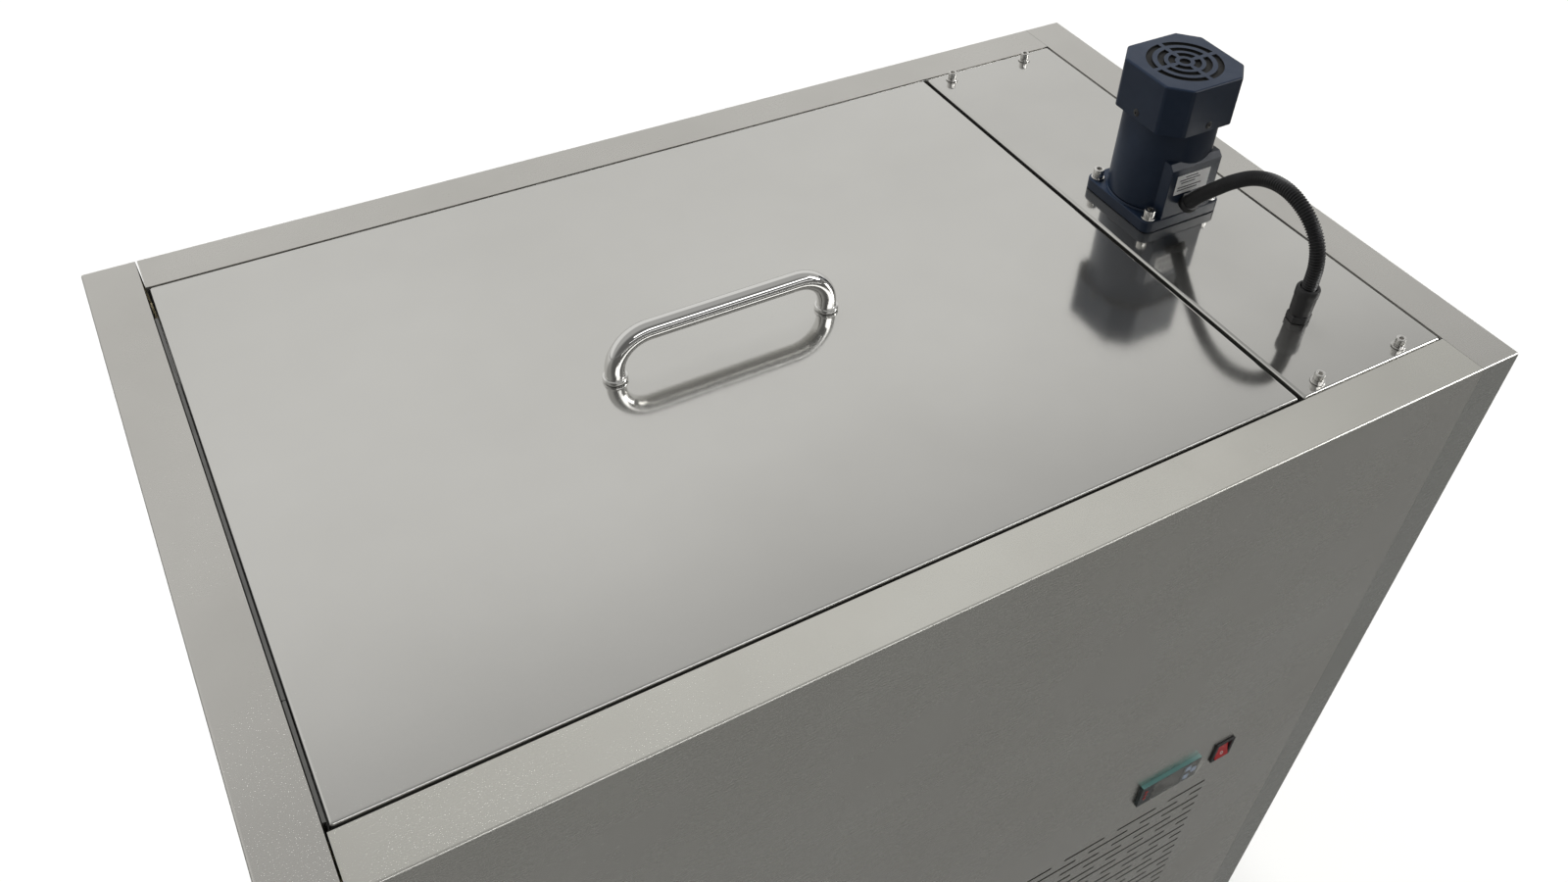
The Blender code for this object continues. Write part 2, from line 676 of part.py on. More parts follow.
def make_motor():
    """The motor's flange with its spigot, its hollow housing, the rotor on its shaft, and the bolts."""
    x, y = MOTOR
    half = FLANGE_SIDE / 2
    plate = block((x - half, y - half, GAP), (x + half, y + half, FLANGE_TOP), 0.008)
    flange = as_object("motor_flange", plate, navy("motor_flange"))
    join(flange, rod(SPIGOT_R, -0.010, 0.005, (x, y, 0), steps=FINE))
    cut(flange, rod(0.010, -0.02, 0.02, (x, y, 0)))
    cut(flange, *[rod(BOLT_HOLE_R, -0.02, 0.02, (*place, 0), steps=12) for place in bolt_places()])

    base = FLANGE_TOP + GAP
    bore, inside = 0.0065, 0.033
    profile = (
        (0.009, base), (MOTOR_R, base), (MOTOR_R, MOTOR_TOP), (bore, MOTOR_TOP),
        (bore, 0.086), (inside, 0.086), (inside, 0.0225), (0.009, 0.0225),
    )
    as_object("motor_housing", turned(profile, (x, y, 0), steps=32), navy("motor_housing"))

    core, neck = 0.027, 0.0055
    profile = (
        (0, -0.030), (SHAFT_R, -0.030), (SHAFT_R, 0.028), (core, 0.028), (core, 0.080),
        (neck, 0.080), (neck, 0.118), (0, 0.118),
    )
    as_object("motor_rotor", turned(profile, (x, y, 0)), steel("motor_rotor", 0.4), (x, y, 0))

    head, socket, top = 0.0050, 0.0027, base + 0.0084
    washers, washers_top, socket_floor = 0.0062, base + 0.0024, base + 0.0055
    profile = (
        (0, -0.020), (SCREW_R, -0.020), (SCREW_R, base), (washers, base), (washers, washers_top),
        (head, washers_top), (head, top), (socket, top), (socket, socket_floor), (0, socket_floor),
    )
    for number, (bx, by) in enumerate(bolt_places(), 1):
        name = f"motor_bolt_{number}"
        as_object(name, turned(profile, (bx, by, 0), steps=12), steel(name, 0.3), (bx, by, 0))


def octagon(half, chamfer):
    """A square outline with its corners cut off, round the motor's axis."""
    x, y = MOTOR
    near = half - chamfer
    corners = (
        (half, -near), (half, near), (near, half), (-near, half),
        (-half, near), (-half, -near), (-near, -half), (near, -half),
    )
    return [(x + dx, y + dy) for dx, dy in corners]


def ring_sector(inner, outer, start, end, low, high, steps=6):
    """An arc-shaped slot's cutter, round the motor's axis."""
    x, y = MOTOR
    outline = []
    for radius, turns in ((outer, range(steps + 1)), (inner, range(steps, -1, -1))):
        for i in turns:
            angle = start + (end - start) * i / steps
            outline.append((x + radius * math.cos(angle), y + radius * math.sin(angle)))
    return prism(outline, low, high)


def make_fan_cover():
    """The fan's cowl on the motor, a chamfered square cup with a round grille in its top."""
    wall = 0.002
    low, high = COVER_Z
    half = COVER_SIDE / 2
    shell = prism(octagon(half, COVER_CHAMFER), low, high)
    cover = as_object("motor_fan_cover", shell, navy("motor_fan_cover"))
    cut(cover, prism(octagon(half - wall, COVER_CHAMFER - 0.6 * wall), low - 0.01, high - wall))
    slots = []
    spoke = 0.003
    for inner, outer in GRILLE_RINGS:
        open_angle = math.asin(spoke / ((inner + outer) / 2))
        for quarter in range(4):
            start = quarter * math.pi / 2 + open_angle
            end = (quarter + 1) * math.pi / 2 - open_angle
            slots.append(ring_sector(inner, outer, start, end, high - 0.01, high + 0.01))
    cut(cover, *slots)


def make_motor_fan():
    """The motor's own fan: a hub on the rotor, with flat blades."""
    x, y = MOTOR
    profile = ((0.0058, 0.100), (0.011, 0.100), (0.011, 0.116), (0.0058, 0.116))
    fan = as_object("motor_fan", turned(profile, (x, y, 0)), black("motor_fan"), (x, y, 0))
    for i in range(6):
        blade = block((0.0095, -0.001, 0.101), (0.034, 0.001, 0.121))
        blade.transform(Matrix.Translation((x, y, 0)) @ Matrix.Rotation(i * math.pi / 3, 4, "Z"))
        join(fan, blade)


def make_terminal_box():
    """The wiring box on the motor's front, hollowed to the round housing behind it."""
    deep = 0.286
    base = FLANGE_TOP + GAP
    outline = (
        (PAD_Y, base), (deep, base), (deep, PAD_TOP), (PAD_Y + 0.005, PAD_TOP), (PAD_Y, PAD_TOP - 0.005),
    )
    pad = as_object("motor_terminal_box", prism(outline, *PAD_X, "X"), navy("motor_terminal_box"))
    spigot = rod(0.0078, -0.0008, ENTRY_LENGTH)
    spigot.transform(Matrix.Translation(ENTRY) @ Matrix.Rotation(math.radians(ENTRY_LEAN), 4, "X"))
    join(pad, spigot)
    cut(pad, rod(MOTOR_R + 0.0004, 0, 0.1, (*MOTOR, 0), steps=32))


def make_gearhead():
    """The reduction gear under the strip, with an input bore above and an output bore below."""
    x, y = MOTOR
    top = -STRIP_PLATE - GAP
    case = block((x - GEAR_HALF, y - GEAR_HALF, GEAR_LOW), (x + GEAR_HALF, y + GEAR_HALF, top), 0.006)
    gearhead = as_object("gearhead", case, navy("gearhead"))
    cut(gearhead, rod(SPIGOT_R + 0.001, -0.012, 0.01, (x, y, 0), steps=FINE))
    for bx, by in bolt_places():
        cut(gearhead, rod(BOLT_HOLE_R, -0.024, 0.01, (bx, by, 0), steps=12))
    cut(gearhead, rod(SHAFT_BORE, -0.034, 0.0, (x, y, 0)))
    cut(gearhead, rod(SHAFT_BORE, GEAR_LOW - 0.01, -0.044, (x, y, 0)))


def make_stirrer():
    """The output shaft with its coupling, and a two-bladed paddle at its foot."""
    x, y = MOTOR
    profile = (
        (0, STIRRER_END), (0.0055, STIRRER_END), (0.0055, -0.112), (0.012, -0.112), (0.012, -0.070),
        (SHAFT_R, -0.070), (SHAFT_R, -0.046), (0, -0.046),
    )
    shaft = as_object("stirrer_shaft", turned(profile, (x, y, 0)), steel("stirrer_shaft"), (x, y, 0))
    cut(shaft, rod(0.002, -0.02, 0.02, (x, y, -0.080), "X", 10))
    profile = ((0.0058, -0.368), (0.013, -0.368), (0.013, -0.330), (0.0058, -0.330))
    paddle = as_object("stirrer_paddle", turned(profile, (x, y, 0)), steel("stirrer_paddle"), (x, y, 0))
    for turn in (0, math.pi):
        blade = block((0.010, -0.001, -0.018), (BLADE_REACH, 0.001, 0.018), 0.010, axis=1)
        lean = Matrix.Rotation(math.radians(35), 4, "X")
        blade.transform(Matrix.Translation((x, y, -0.349)) @ Matrix.Rotation(turn, 4, "Z") @ lean)
        join(paddle, blade)


def smooth_route(points, per_span):
    """A Catmull-Rom curve through the points."""
    points = [Vector(point) for point in points]
    ends = [2 * points[0] - points[1], *points, 2 * points[-1] - points[-2]]
    route = []
    for a, b, c, d in zip(ends, ends[1:], ends[2:], ends[3:]):
        for i in range(per_span):
            t = i / per_span
            square = (2 * a - 5 * b + 4 * c - d) * t**2
            cube = (3 * b - a - 3 * c + d) * t**3
            route.append((2 * b + (c - a) * t + square + cube) / 2)
    return [*route, points[-1]]


def make_conduit():
    """The flexible conduit's arch from the gland to the motor's wiring box, and the gland."""
    route = smooth_route(CONDUIT_ROUTE, 2)
    curve = bpy.data.curves.new("motor_conduit", "CURVE")
    curve.dimensions = "3D"
    spline = curve.splines.new("POLY")
    spline.points.add(len(route) - 1)
    for point, place in zip(spline.points, route):
        point.co = (*place, 1.0)
    curve.bevel_depth = CONDUIT_R
    curve.bevel_resolution = 3
    curve.use_fill_caps = True
    curve.materials.append(black("motor_conduit", 0.6))
    obj = bpy.data.objects.new("motor_conduit", curve)
    obj.parent = CORNER
    bpy.context.scene.collection.objects.link(obj)

    profile = (
        (0.0050, -0.012), (0.0075, -0.012), (0.0075, GAP), (0.0105, GAP), (0.0105, 0.0075), (0.0092, 0.0085),
        (0.0092, 0.0240), (0.0082, 0.0300), (0.0072, 0.0300), (0.0072, 0.0120), (0.0050, 0.0120),
    )
    as_object("conduit_gland", turned(profile, (*GLAND, 0), steps=24), black("conduit_gland"))


def make_thermostat():
    """The digital controller: case with bezel, display window and keys that press in."""
    x, z = THERMOSTAT_X, THERMOSTAT_Z
    face = -0.0040
    inset = BEZEL_OVERLAP
    play = 0.0003
    steps = [
        ("+", (x[0], face, z[0]), (x[1], -GAP, z[1])),
        ("+", (x[0] + inset, -GAP, z[0] + inset), (x[1] - inset, 0.055, z[1] - inset)),
    ]
    lo = (WINDOW_X[0] - play, face, WINDOW_Z[0] - play)
    steps.append(("-", lo, (WINDOW_X[1] + play, -0.0024, WINDOW_Z[1] + play)))
    wide, tall = KEY_HALF
    for kx, kz in KEYS:
        lo = (kx - wide - play, face, kz - tall - play)
        steps.append(("-", lo, (kx + wide + play, 0.002, kz + tall + play)))
    as_object("thermostat_case", cells(steps), black("thermostat_case"))

    lo = (WINDOW_X[0], -0.0038, WINDOW_Z[0])
    window = block(lo, (WINDOW_X[1], -0.0027, WINDOW_Z[1]), 0.001, axis=1, segments=2)
    as_object("thermostat_window", window, material("thermostat_window", (0.10, 0.11, 0.12), 0.1))
    key_face = -0.0047
    for number, (kx, kz) in enumerate(KEYS, 1):
        name = f"thermostat_key_{number}"
        hi = (kx + wide, 0.0002, kz + tall)
        key = block((kx - wide, key_face, kz - tall), hi, 0.001, axis=1, segments=2)
        as_object(name, key, material(name, (0.35, 0.37, 0.38), 0.5), (kx, key_face, kz))


def make_switch():
    """The rocker switch: a hollow housing snapped into the panel, and the rocker on its pivot."""
    x, z = SWITCH_X, SWITCH_Z
    face = -0.0025
    inset = SWITCH_OVERLAP
    side, end = 0.0036, 0.0026
    steps = [
        ("+", (x[0], face, z[0]), (x[1], -GAP, z[1])),
        ("+", (x[0] + inset, -GAP, z[0] + inset), (x[1] - inset, 0.026, z[1] - inset)),
        ("-", (x[0] + side, face, z[0] + end), (x[1] - side, 0.0105, z[1] - end)),
    ]
    as_object("switch_housing", cells(steps), black("switch_housing", 0.4))

    middle = sum(z) / 2
    half = (z[1] - z[0]) / 2 - 0.0038
    front, waist, back = -0.0052, -0.0035, 0.0046
    outline = [(front, -half), (waist, 0.0), (front, half), (0.001, half), (back, 0.0), (0.001, -half)]
    tilt = math.radians(ROCKER_TILT)
    leaning = []
    for y, h in outline:
        across = y * math.cos(tilt) - h * math.sin(tilt)
        leaning.append((ROCKER_PIVOT_Y + across, middle + y * math.sin(tilt) + h * math.cos(tilt)))
    rocker = prism(leaning, x[0] + side + 0.0004, x[1] - side - 0.0004, "X")
    pivot = (sum(x) / 2, ROCKER_PIVOT_Y, middle)
    as_object("switch_rocker", rocker, material("switch_rocker", (0.55, 0.02, 0.02), 0.3), pivot)


def make_compressor():
    """The hermetic compressor: a welded pot with a seam, on a base plate, with its terminal box."""
    x, y = COMPRESSOR
    low = -SHELL_HEIGHT + SHEET + GAP
    r = COMPRESSOR_R
    seam = r + 0.003
    profile = (
        (0, low), (0.060, low), (0.060, low + 0.020), (0.072, low + 0.026), (r, low + 0.045),
        (r, low + 0.100), (seam, low + 0.100), (seam, low + 0.106), (r, low + 0.106),
        (r - 0.001, low + 0.160), (0.066, low + 0.190), (0.036, low + 0.205), (0, low + 0.210),
    )
    pot = as_object("compressor", turned(profile, (x, y, 0), steps=24), black("compressor", 0.4))
    join(pot, block((x - 0.100, y - 0.060, low), (x + 0.100, y + 0.060, low + 0.003)))
    join(pot, block((x + 0.070, y - 0.030, low + 0.060), (x + 0.105, y + 0.030, low + 0.125)))


def make_condenser():
    """The condenser: a finned block with grooves across both faces, between two end plates."""
    lo, hi = CONDENSER_LO, CONDENSER_HI
    pitch, groove, deep = 0.022, 0.004, 0.010
    steps = []
    for x in (lo[0] - SHEET, hi[0]):
        steps.append(("+", (x, lo[1] - 0.004, lo[2] - 0.005), (x + SHEET, hi[1] + 0.004, hi[2] + 0.005)))
    steps.append(("+", lo, hi))
    for i in range(1, 12):
        z = lo[2] + i * pitch
        steps.append(("-", (lo[0], lo[1], z), (hi[0], lo[1] + deep, z + groove)))
        steps.append(("-", (lo[0], hi[1] - deep, z), (hi[0], hi[1], z + groove)))
    as_object("condenser", cells(steps), material("condenser", (0.70, 0.71, 0.72), 0.45, 1.0))


def make_condenser_fan():
    """The condenser's fan: a plate with a round throat, a motor on a bracket, and the bladed wheel."""
    x, y, z = FAN_CENTRE
    left, right = 0.490, 0.800
    bottom, top = -0.785, -0.525
    near, lip = 0.0953, 0.1070
    plate = cells([
        ("+", (left, near, bottom), (right, near + 0.0017, top)),
        ("+", (left, near, bottom), (right, lip, bottom + SHEET)),
        ("+", (left, near, top - SHEET), (right, lip, top)),
    ])
    shroud = as_object("fan_shroud", plate, black("fan_shroud", 0.5))
    throat = FAN_R + 0.007
    join(shroud, rod(throat + 0.002, near + 0.0002, 0.1300, (x, 0, z), "Y", FINE))
    cut(shroud, rod(throat, near - 0.015, 0.150, (x, 0, z), "Y", FINE))

    profile = ((0, 0.185), (0.034, 0.185), (0.034, 0.235), (0.026, 0.243), (0, 0.243))
    body = turned(profile, (x, 0, z), "Y")
    motor = as_object("condenser_fan_motor", body, black("condenser_fan_motor", 0.45))
    join(motor, rod(0.004, 0.160, 0.190, (x, 0, z), "Y", 12))
    reach, thick, high = 0.130, 0.003, 0.010
    behind = (0.200, 0.203)
    foot = near + 0.0020
    arms = cells([
        ("+", (x - reach, behind[0], z - high), (x + reach, behind[1], z + high)),
        ("+", (x - reach, foot, z - high), (x - reach + thick, behind[1], z + high)),
        ("+", (x + reach - thick, foot, z - high), (x + reach, behind[1], z + high)),
    ])
    join(motor, arms)

    profile = (
        (0, 0.135), (0.022, 0.135), (0.024, 0.139), (0.024, 0.180),
        (0.0045, 0.180), (0.0045, 0.158), (0, 0.158),
    )
    grey = material("condenser_fan", (0.7, 0.71, 0.72), 0.4, 1.0)
    fan = as_object("condenser_fan", turned(profile, (x, 0, z), "Y"), grey, FAN_CENTRE)
    for i in range(5):
        blade = block((0.020, -0.0008, -0.030), (FAN_R, 0.0008, 0.030), 0.015, axis=1)
        lean = Matrix.Rotation(math.radians(28), 4, "X")
        turn = Matrix.Rotation(2 * math.pi * i / 5, 4, "Y")
        blade.transform(Matrix.Translation((x, 0.158, z)) @ turn @ lean)
        join(fan, blade)


def make_refrigerant_parts():
    """The filter drier, the pipe from the compressor to the condenser, and the one on to the drier."""
    x, z = DRIER
    low, high = DRIER_Y
    profile = (
        (0, low), (0.005, low), (0.005, low + 0.006), (0.011, low + 0.014), (0.011, high - 0.014),
        (0.005, high - 0.006), (0.005, high), (0, high),
    )
    as_object("filter_drier", turned(profile, (x, 0, z), "Y", 16), copper("filter_drier"))
    cx, cy = COMPRESSOR
    middle = (CONDENSER_LO[1] + CONDENSER_HI[1]) / 2
    start, rise = cy - COMPRESSOR_R - GAP, 0.200
    low_z, high_z = -0.820, -0.560
    points = [(cx, start, low_z), (cx, rise, low_z), (cx, rise, high_z), (cx, middle, high_z)]
    points.append((CONDENSER_LO[0] - SHEET - GAP, middle, high_z))
    as_object("discharge_pipe", swept(filleted(points, 0.020), PIPE_R), copper("discharge_pipe"))
    wall, foot_z = CONDENSER_HI[0] + SHEET + GAP, -0.760
    points = [(wall, middle, foot_z), (x, middle, foot_z), (x, middle, z), (x, low - GAP, z)]
    as_object("liquid_pipe", swept(filleted(points, 0.020), PIPE_R), copper("liquid_pipe"))


def outlet_route(top, front):
    """The outlet pipe's middle line: down from the vat's floor and forward through the panel."""
    points = [(OUTLET_X, DRAIN_Y, top), (OUTLET_X, DRAIN_Y, OUTLET_Z), (OUTLET_X, front, OUTLET_Z)]
    return filleted(points, 0.045, 5)


def make_outlet():
    """The milk outlet: a bent pipe from the vat's floor, a ball valve and its lever, shown closed."""
    top = -VAT_DEPTH - GAP
    pipe_end = -0.016
    bar = swept(outlet_route(top, pipe_end), OUTLET_R, 16)
    pipe = as_object("outlet_pipe", bar, steel("outlet_pipe", 0.25))
    cut(pipe, swept(outlet_route(top + 0.01, pipe_end - 0.014), OUTLET_BORE, 16))

    centre = (OUTLET_X, VALVE_Y, OUTLET_Z)
    back, front = pipe_end - GAP - VALVE_Y, -FRONT_REACH - VALVE_Y
    socket = BALL_R + 0.0005
    mouth = math.asin(OUTLET_BORE / socket)
    inner = []
    for i in range(5):
        angle = mouth + (math.pi - 2 * mouth) * i / 4
        inner.append((socket * math.sin(angle), -socket * math.cos(angle)))
    neck, waist, lip = 0.023, 0.030, 0.026
    profile = [
        (OUTLET_BORE, back), (neck, back), (neck, 0.024), (waist, 0.022), (waist, -0.022), (neck, -0.024),
        (neck, front + 0.008), (lip, front + 0.006), (lip, front), (OUTLET_BORE, front),
    ]
    body = as_object("valve_body", turned(profile + inner, centre, "Y"), steel("valve_body", 0.3))
    join(body, rod(0.011, 0.024, 0.040, centre))
    cut(body, rod(0.0062, 0.010, 0.050, centre))

    ball = [(0, -BALL_R)]
    for i in range(1, 8):
        angle = math.pi * i / 8
        ball.append((BALL_R * math.sin(angle), -BALL_R * math.cos(angle)))
    ball.append((0, BALL_R))
    stem = as_object("valve_lever", turned(ball, centre), steel("valve_lever", 0.3), centre)
    cut(stem, rod(0.0125, -0.03, 0.03, centre, "X"))
    join(stem, rod(0.0055, 0.0185, 0.0462, centre, steps=16))
    x, y, z = centre
    join(stem, block((x - 0.013, y - 0.010, z + 0.0412), (x + LEVER_REACH, y + 0.010, z + 0.0445), 0.004))


def make_power_gland():
    """The gland that the power cable passes through, near the back panel's foot."""
    place = (POWER_CABLE[0], DEPTH, POWER_CABLE[1])
    profile = (
        (0.0040, -0.012), (0.0063, -0.012), (0.0063, GAP), (0.0110, GAP), (0.0110, 0.006),
        (0.0095, 0.007), (0.0095, 0.013), (0.0075, BACK_REACH), (0.0040, BACK_REACH),
    )
    as_object("power_gland", turned(profile, place, "Y"), black("power_gland"))


make_shell()
make_base()
make_feet()
make_vat()
make_insulation()
make_coil()
make_strip()
make_strip_screws()
make_lid()
make_handle()
make_hinge()
make_motor()
make_fan_cover()
make_motor_fan()
make_terminal_box()
make_gearhead()
make_stirrer()
make_conduit()
make_thermostat()
make_switch()
make_compressor()
make_condenser()
make_condenser_fan()
make_refrigerant_parts()
make_outlet()
make_power_gland()
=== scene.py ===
"""The looks of the bulk milk tank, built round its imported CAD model. Units are metres."""

import math

import bmesh
import bpy
from mathutils import Matrix, Vector


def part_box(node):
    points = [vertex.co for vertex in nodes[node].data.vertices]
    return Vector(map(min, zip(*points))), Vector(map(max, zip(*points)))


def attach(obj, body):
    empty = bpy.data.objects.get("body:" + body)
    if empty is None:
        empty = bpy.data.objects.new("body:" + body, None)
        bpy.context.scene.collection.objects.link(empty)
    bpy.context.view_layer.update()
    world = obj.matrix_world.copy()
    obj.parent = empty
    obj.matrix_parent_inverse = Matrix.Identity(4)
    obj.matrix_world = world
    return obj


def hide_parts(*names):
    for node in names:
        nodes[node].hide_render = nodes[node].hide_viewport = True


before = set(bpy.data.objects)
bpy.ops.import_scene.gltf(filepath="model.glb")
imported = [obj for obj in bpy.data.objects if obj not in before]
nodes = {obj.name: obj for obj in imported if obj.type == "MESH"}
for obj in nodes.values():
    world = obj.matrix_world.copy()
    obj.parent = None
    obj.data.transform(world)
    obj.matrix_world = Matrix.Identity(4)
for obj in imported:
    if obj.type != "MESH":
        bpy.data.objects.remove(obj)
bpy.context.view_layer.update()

# The cabinet's top front left corner. Points below are measured from it: right, back and up.
CORNER = Vector((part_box("left_side_panel")[0][0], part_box("front_panel")[0][1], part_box("lid_skin")[1][2]))
CAMERA_FROM_CORNER = Vector((0.0797, -0.3919, 0.6815))
CAMERA_ANGLES = (45.733, -2.569, -30.325)
CAMERA_LENS = 29.832
CAMERA_SHIFT = (-0.0314, -0.0145)

WALL_LEAN = (0.0, 0.8, -0.6)
WALL_EDGE = (-0.16, 0.1)
WALL_LEVEL = 0.84
ROOM_LEVEL = 0.46
FRONT_EDGE = (-0.6, -0.15)
FRONT_LEVEL = 0.14
FLOOR_EDGE = (-0.12, 0.06)
LOW_LEVEL = 0.24
KEY_STRENGTH = 2.7
KEY_SPREAD = 22
KEY_ANGLES = (-28, 0, -8)
FLOOR_HALF = 14

RIM_DIP = 0.0052
# The painted shade in the seams starts this far below the top.
SEAM_SHADE_DROP = 0.0009

SHEET = 0.0015
FOLD = 0.0022
# Things that stand on a sheet start this far above it.
PROUD = 0.0003
LIP_LOW = -0.04
LIP_TOP = -SHEET - 0.0001
SHELF = 0.014
SHELF_TOP = LIP_LOW + SHEET
CABINET = (1.0, 0.627)
MOTOR = (0.869, 0.3135)
MOTOR_AXIS = (*MOTOR, 0)
GLAND = (0.865, 0.1195)
OUTLET = (0.15, 0.13, -0.5)
CORD = (0.9, -0.9)


def local(node):
    """A CAD node's box, measured from the cabinet's corner."""
    low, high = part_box(node)
    return Vector(low) - CORNER, Vector(high) - CORNER


def upright(node):
    """Where the axis of an upright CAD node stands, as x and y."""
    low, high = local(node)
    return (low.x + high.x) / 2, (low.y + high.y) / 2


def show(name, data):
    """A new object, linked to the scene."""
    obj = bpy.data.objects.new(name, data)
    bpy.context.scene.collection.objects.link(obj)
    return obj


# ---------------------------------------------------------------- camera, light and floor


def make_camera():
    data = bpy.data.cameras.new("camera")
    data.sensor_width = 36.0
    data.lens = CAMERA_LENS
    data.shift_x, data.shift_y = CAMERA_SHIFT
    data.clip_start = 0.01
    camera = show("camera", data)
    camera.location = CORNER + CAMERA_FROM_CORNER
    camera.rotation_euler = [math.radians(angle) for angle in CAMERA_ANGLES]
    bpy.context.scene.camera = camera


def add_node(tree, kind, values, links):
    """A new node with some inputs set and some linked."""
    node = tree.nodes.new("ShaderNode" + kind)
    for key, value in values.items():
        node.inputs[key].default_value = value
    for key, source in links.items():
        tree.links.new(source, node.inputs[key])
    return node


def ramp(tree, value, span, levels):
    """Maps a value smoothly across a span to a pair of levels, which may be linked sockets."""
    values, links = {"From Min": span[0], "From Max": span[1]}, {"Value": value}
    for name, level in zip(("To Min", "To Max"), levels):
        target = values if isinstance(level, float) else links
        target[name] = level
    node = add_node(tree, "MapRange", values, links)
    node.interpolation_type = "SMOOTHSTEP"
    return node.outputs["Result"]


def make_world():
    """A plain studio: a bright wall behind the tank, a dimmer ceiling, a dark room in front and below."""
    world = bpy.data.worlds.new("studio")
    world.use_nodes = True
    tree = world.node_tree
    place = tree.nodes.new("ShaderNodeTexCoord").outputs["Generated"]
    lean = add_node(tree, "VectorMath", {1: WALL_LEAN}, {0: place})
    lean.operation = "DOT_PRODUCT"
    parts = add_node(tree, "SeparateXYZ", {}, {"Vector": place})
    wall = ramp(tree, lean.outputs["Value"], WALL_EDGE, (ROOM_LEVEL, WALL_LEVEL))
    room = ramp(tree, parts.outputs["Y"], FRONT_EDGE, (FRONT_LEVEL, wall))
    whole = ramp(tree, parts.outputs["Z"], FLOOR_EDGE, (LOW_LEVEL, room))
    background = tree.nodes["Background"]
    background.inputs["Color"].default_value = (1.0, 0.995, 0.975, 1.0)
    tree.links.new(whole, background.inputs["Strength"])
    bpy.context.scene.world = world


def softbox(name, place, size, power):
    """A lamp, aimed at the tank, that shows only in glossy surfaces."""
    data = bpy.data.lights.new(name, "AREA")
    data.shape = "RECTANGLE"
    data.size, data.size_y = size
    data.energy = power
    lamp = show(name, data)
    lamp.location = place
    lamp.rotation_euler = (Vector((0, 0, 1)) - Vector(place)).to_track_quat("-Z", "Y").to_euler()
    lamp.visible_camera = False
    lamp.visible_diffuse = False


def make_studio():
    bpy.context.scene.view_settings.view_transform = "Standard"
    make_world()
    data = bpy.data.lights.new("soft_key", "SUN")
    data.energy = KEY_STRENGTH
    data.angle = math.radians(KEY_SPREAD)
    key = show("soft_key", data)
    key.rotation_euler = [math.radians(angle) for angle in KEY_ANGLES]
    key.visible_glossy = False
    softbox("front_box", (0.8, -3.0, 3.6), (4.6, 0.7), 30)
    softbox("low_box", (0.8, -3.4, 2.0), (4.6, 0.16), 6)
    softbox("side_box", (3.2, -1.6, 2.6), (0.7, 2.0), 45)
    mesh = bpy.data.meshes.new("floor")
    maker = bmesh.new()
    bmesh.ops.create_grid(maker, x_segments=1, y_segments=1, size=FLOOR_HALF)
    maker.to_mesh(mesh)
    maker.free()
    floor = show("floor", mesh)
    floor.visible_glossy = False
    mesh.materials.append(plain("floor_white", (0.88, 0.88, 0.87), 0.9))


# ---------------------------------------------------------------- materials


def plain(name, colour, roughness, metallic=0.0):
    mat = bpy.data.materials.new(name)
    mat.use_nodes = True
    shader = mat.node_tree.nodes["Principled BSDF"]
    shader.inputs["Base Color"].default_value = (*colour, 1.0)
    shader.inputs["Roughness"].default_value = roughness
    shader.inputs["Metallic"].default_value = metallic
    return mat


class Graph:
    """Short names for adding nodes to one material."""

    def __init__(self, mat):
        self.tree = mat.node_tree
        self.shader = self.tree.nodes["Principled BSDF"]
        self.place = self.tree.nodes.new("ShaderNodeTexCoord").outputs["Object"]

    def add(self, kind, values, links):
        return add_node(self.tree, kind, values, links)

    def noise(self, scale, detail=3.0, rough=0.5, stretch=(1, 1, 1)):
        mapping = self.add("Mapping", {"Scale": stretch}, {"Vector": self.place})
        values = {"Scale": scale, "Detail": detail, "Roughness": rough}
        return self.add("TexNoise", values, {"Vector": mapping.outputs["Vector"]}).outputs["Fac"]

    def span(self, value, low, high, start=0.3, end=0.7):
        """Maps a value from start..end to low..high."""
        values = {"From Min": start, "From Max": end, "To Min": low, "To Max": high}
        return self.add("MapRange", values, {"Value": value}).outputs["Result"]

    def calculate(self, operation, first, second):
        node = self.add("Math", {}, {0: first, 1: second})
        node.operation = operation
        return node.outputs["Value"]

    def clouds(self, texture, first, second):
        """Two colours mixed by a noise."""
        factor = self.span(texture, 0.0, 1.0)
        node = self.add("Mix", {6: (*first, 1.0), 7: (*second, 1.0)}, {"Factor": factor})
        node.data_type = "RGBA"
        return node.outputs[2]

    def bump(self, height, strength, distance, under=None):
        links = {"Height": height, "Normal": under} if under else {"Height": height}
        return self.add("Bump", {"Strength": strength, "Distance": distance}, links).outputs["Normal"]

    def feed(self, name, source):
        self.tree.links.new(source, self.shader.inputs[name])

    def shine(self, level):
        self.shader.inputs["Specular IOR Level"].default_value = level


def sheet_steel(name, light, dark, rough=(0.2, 0.3)):
    """Satin stainless sheet: a fine drawn grain, faint clouding and a slightly wavy surface."""
    mat = plain(name, light, 0.25, 0.94)
    graph = Graph(mat)
    graph.feed("Base Color", graph.clouds(graph.noise(5.0, 4.0, 0.55), light, dark))
    lines = graph.noise(160.0, 6.0, 0.7, (1, 12, 12))
    patches = graph.span(graph.noise(9.0, 4.0, 0.6), *rough)
    graph.feed("Roughness", graph.calculate("ADD", graph.span(lines, -0.03, 0.03), patches))
    swell = graph.bump(graph.noise(3.2, 1.0), 1.0, 0.0006)
    graph.feed("Normal", graph.bump(lines, 0.05, 0.00012, swell))
    return mat


def bright_steel(name, tone, rough, grain_strength=0.04):
    """Turned or polished stainless, with light scuffs."""
    mat = plain(name, tone, rough, 1.0)
    graph = Graph(mat)
    graph.feed("Roughness", graph.span(graph.noise(60.0, 5.0, 0.6), rough * 0.7, rough * 1.5))
    graph.feed("Normal", graph.bump(graph.noise(900.0, 2.0), grain_strength, 0.0001))
    return mat


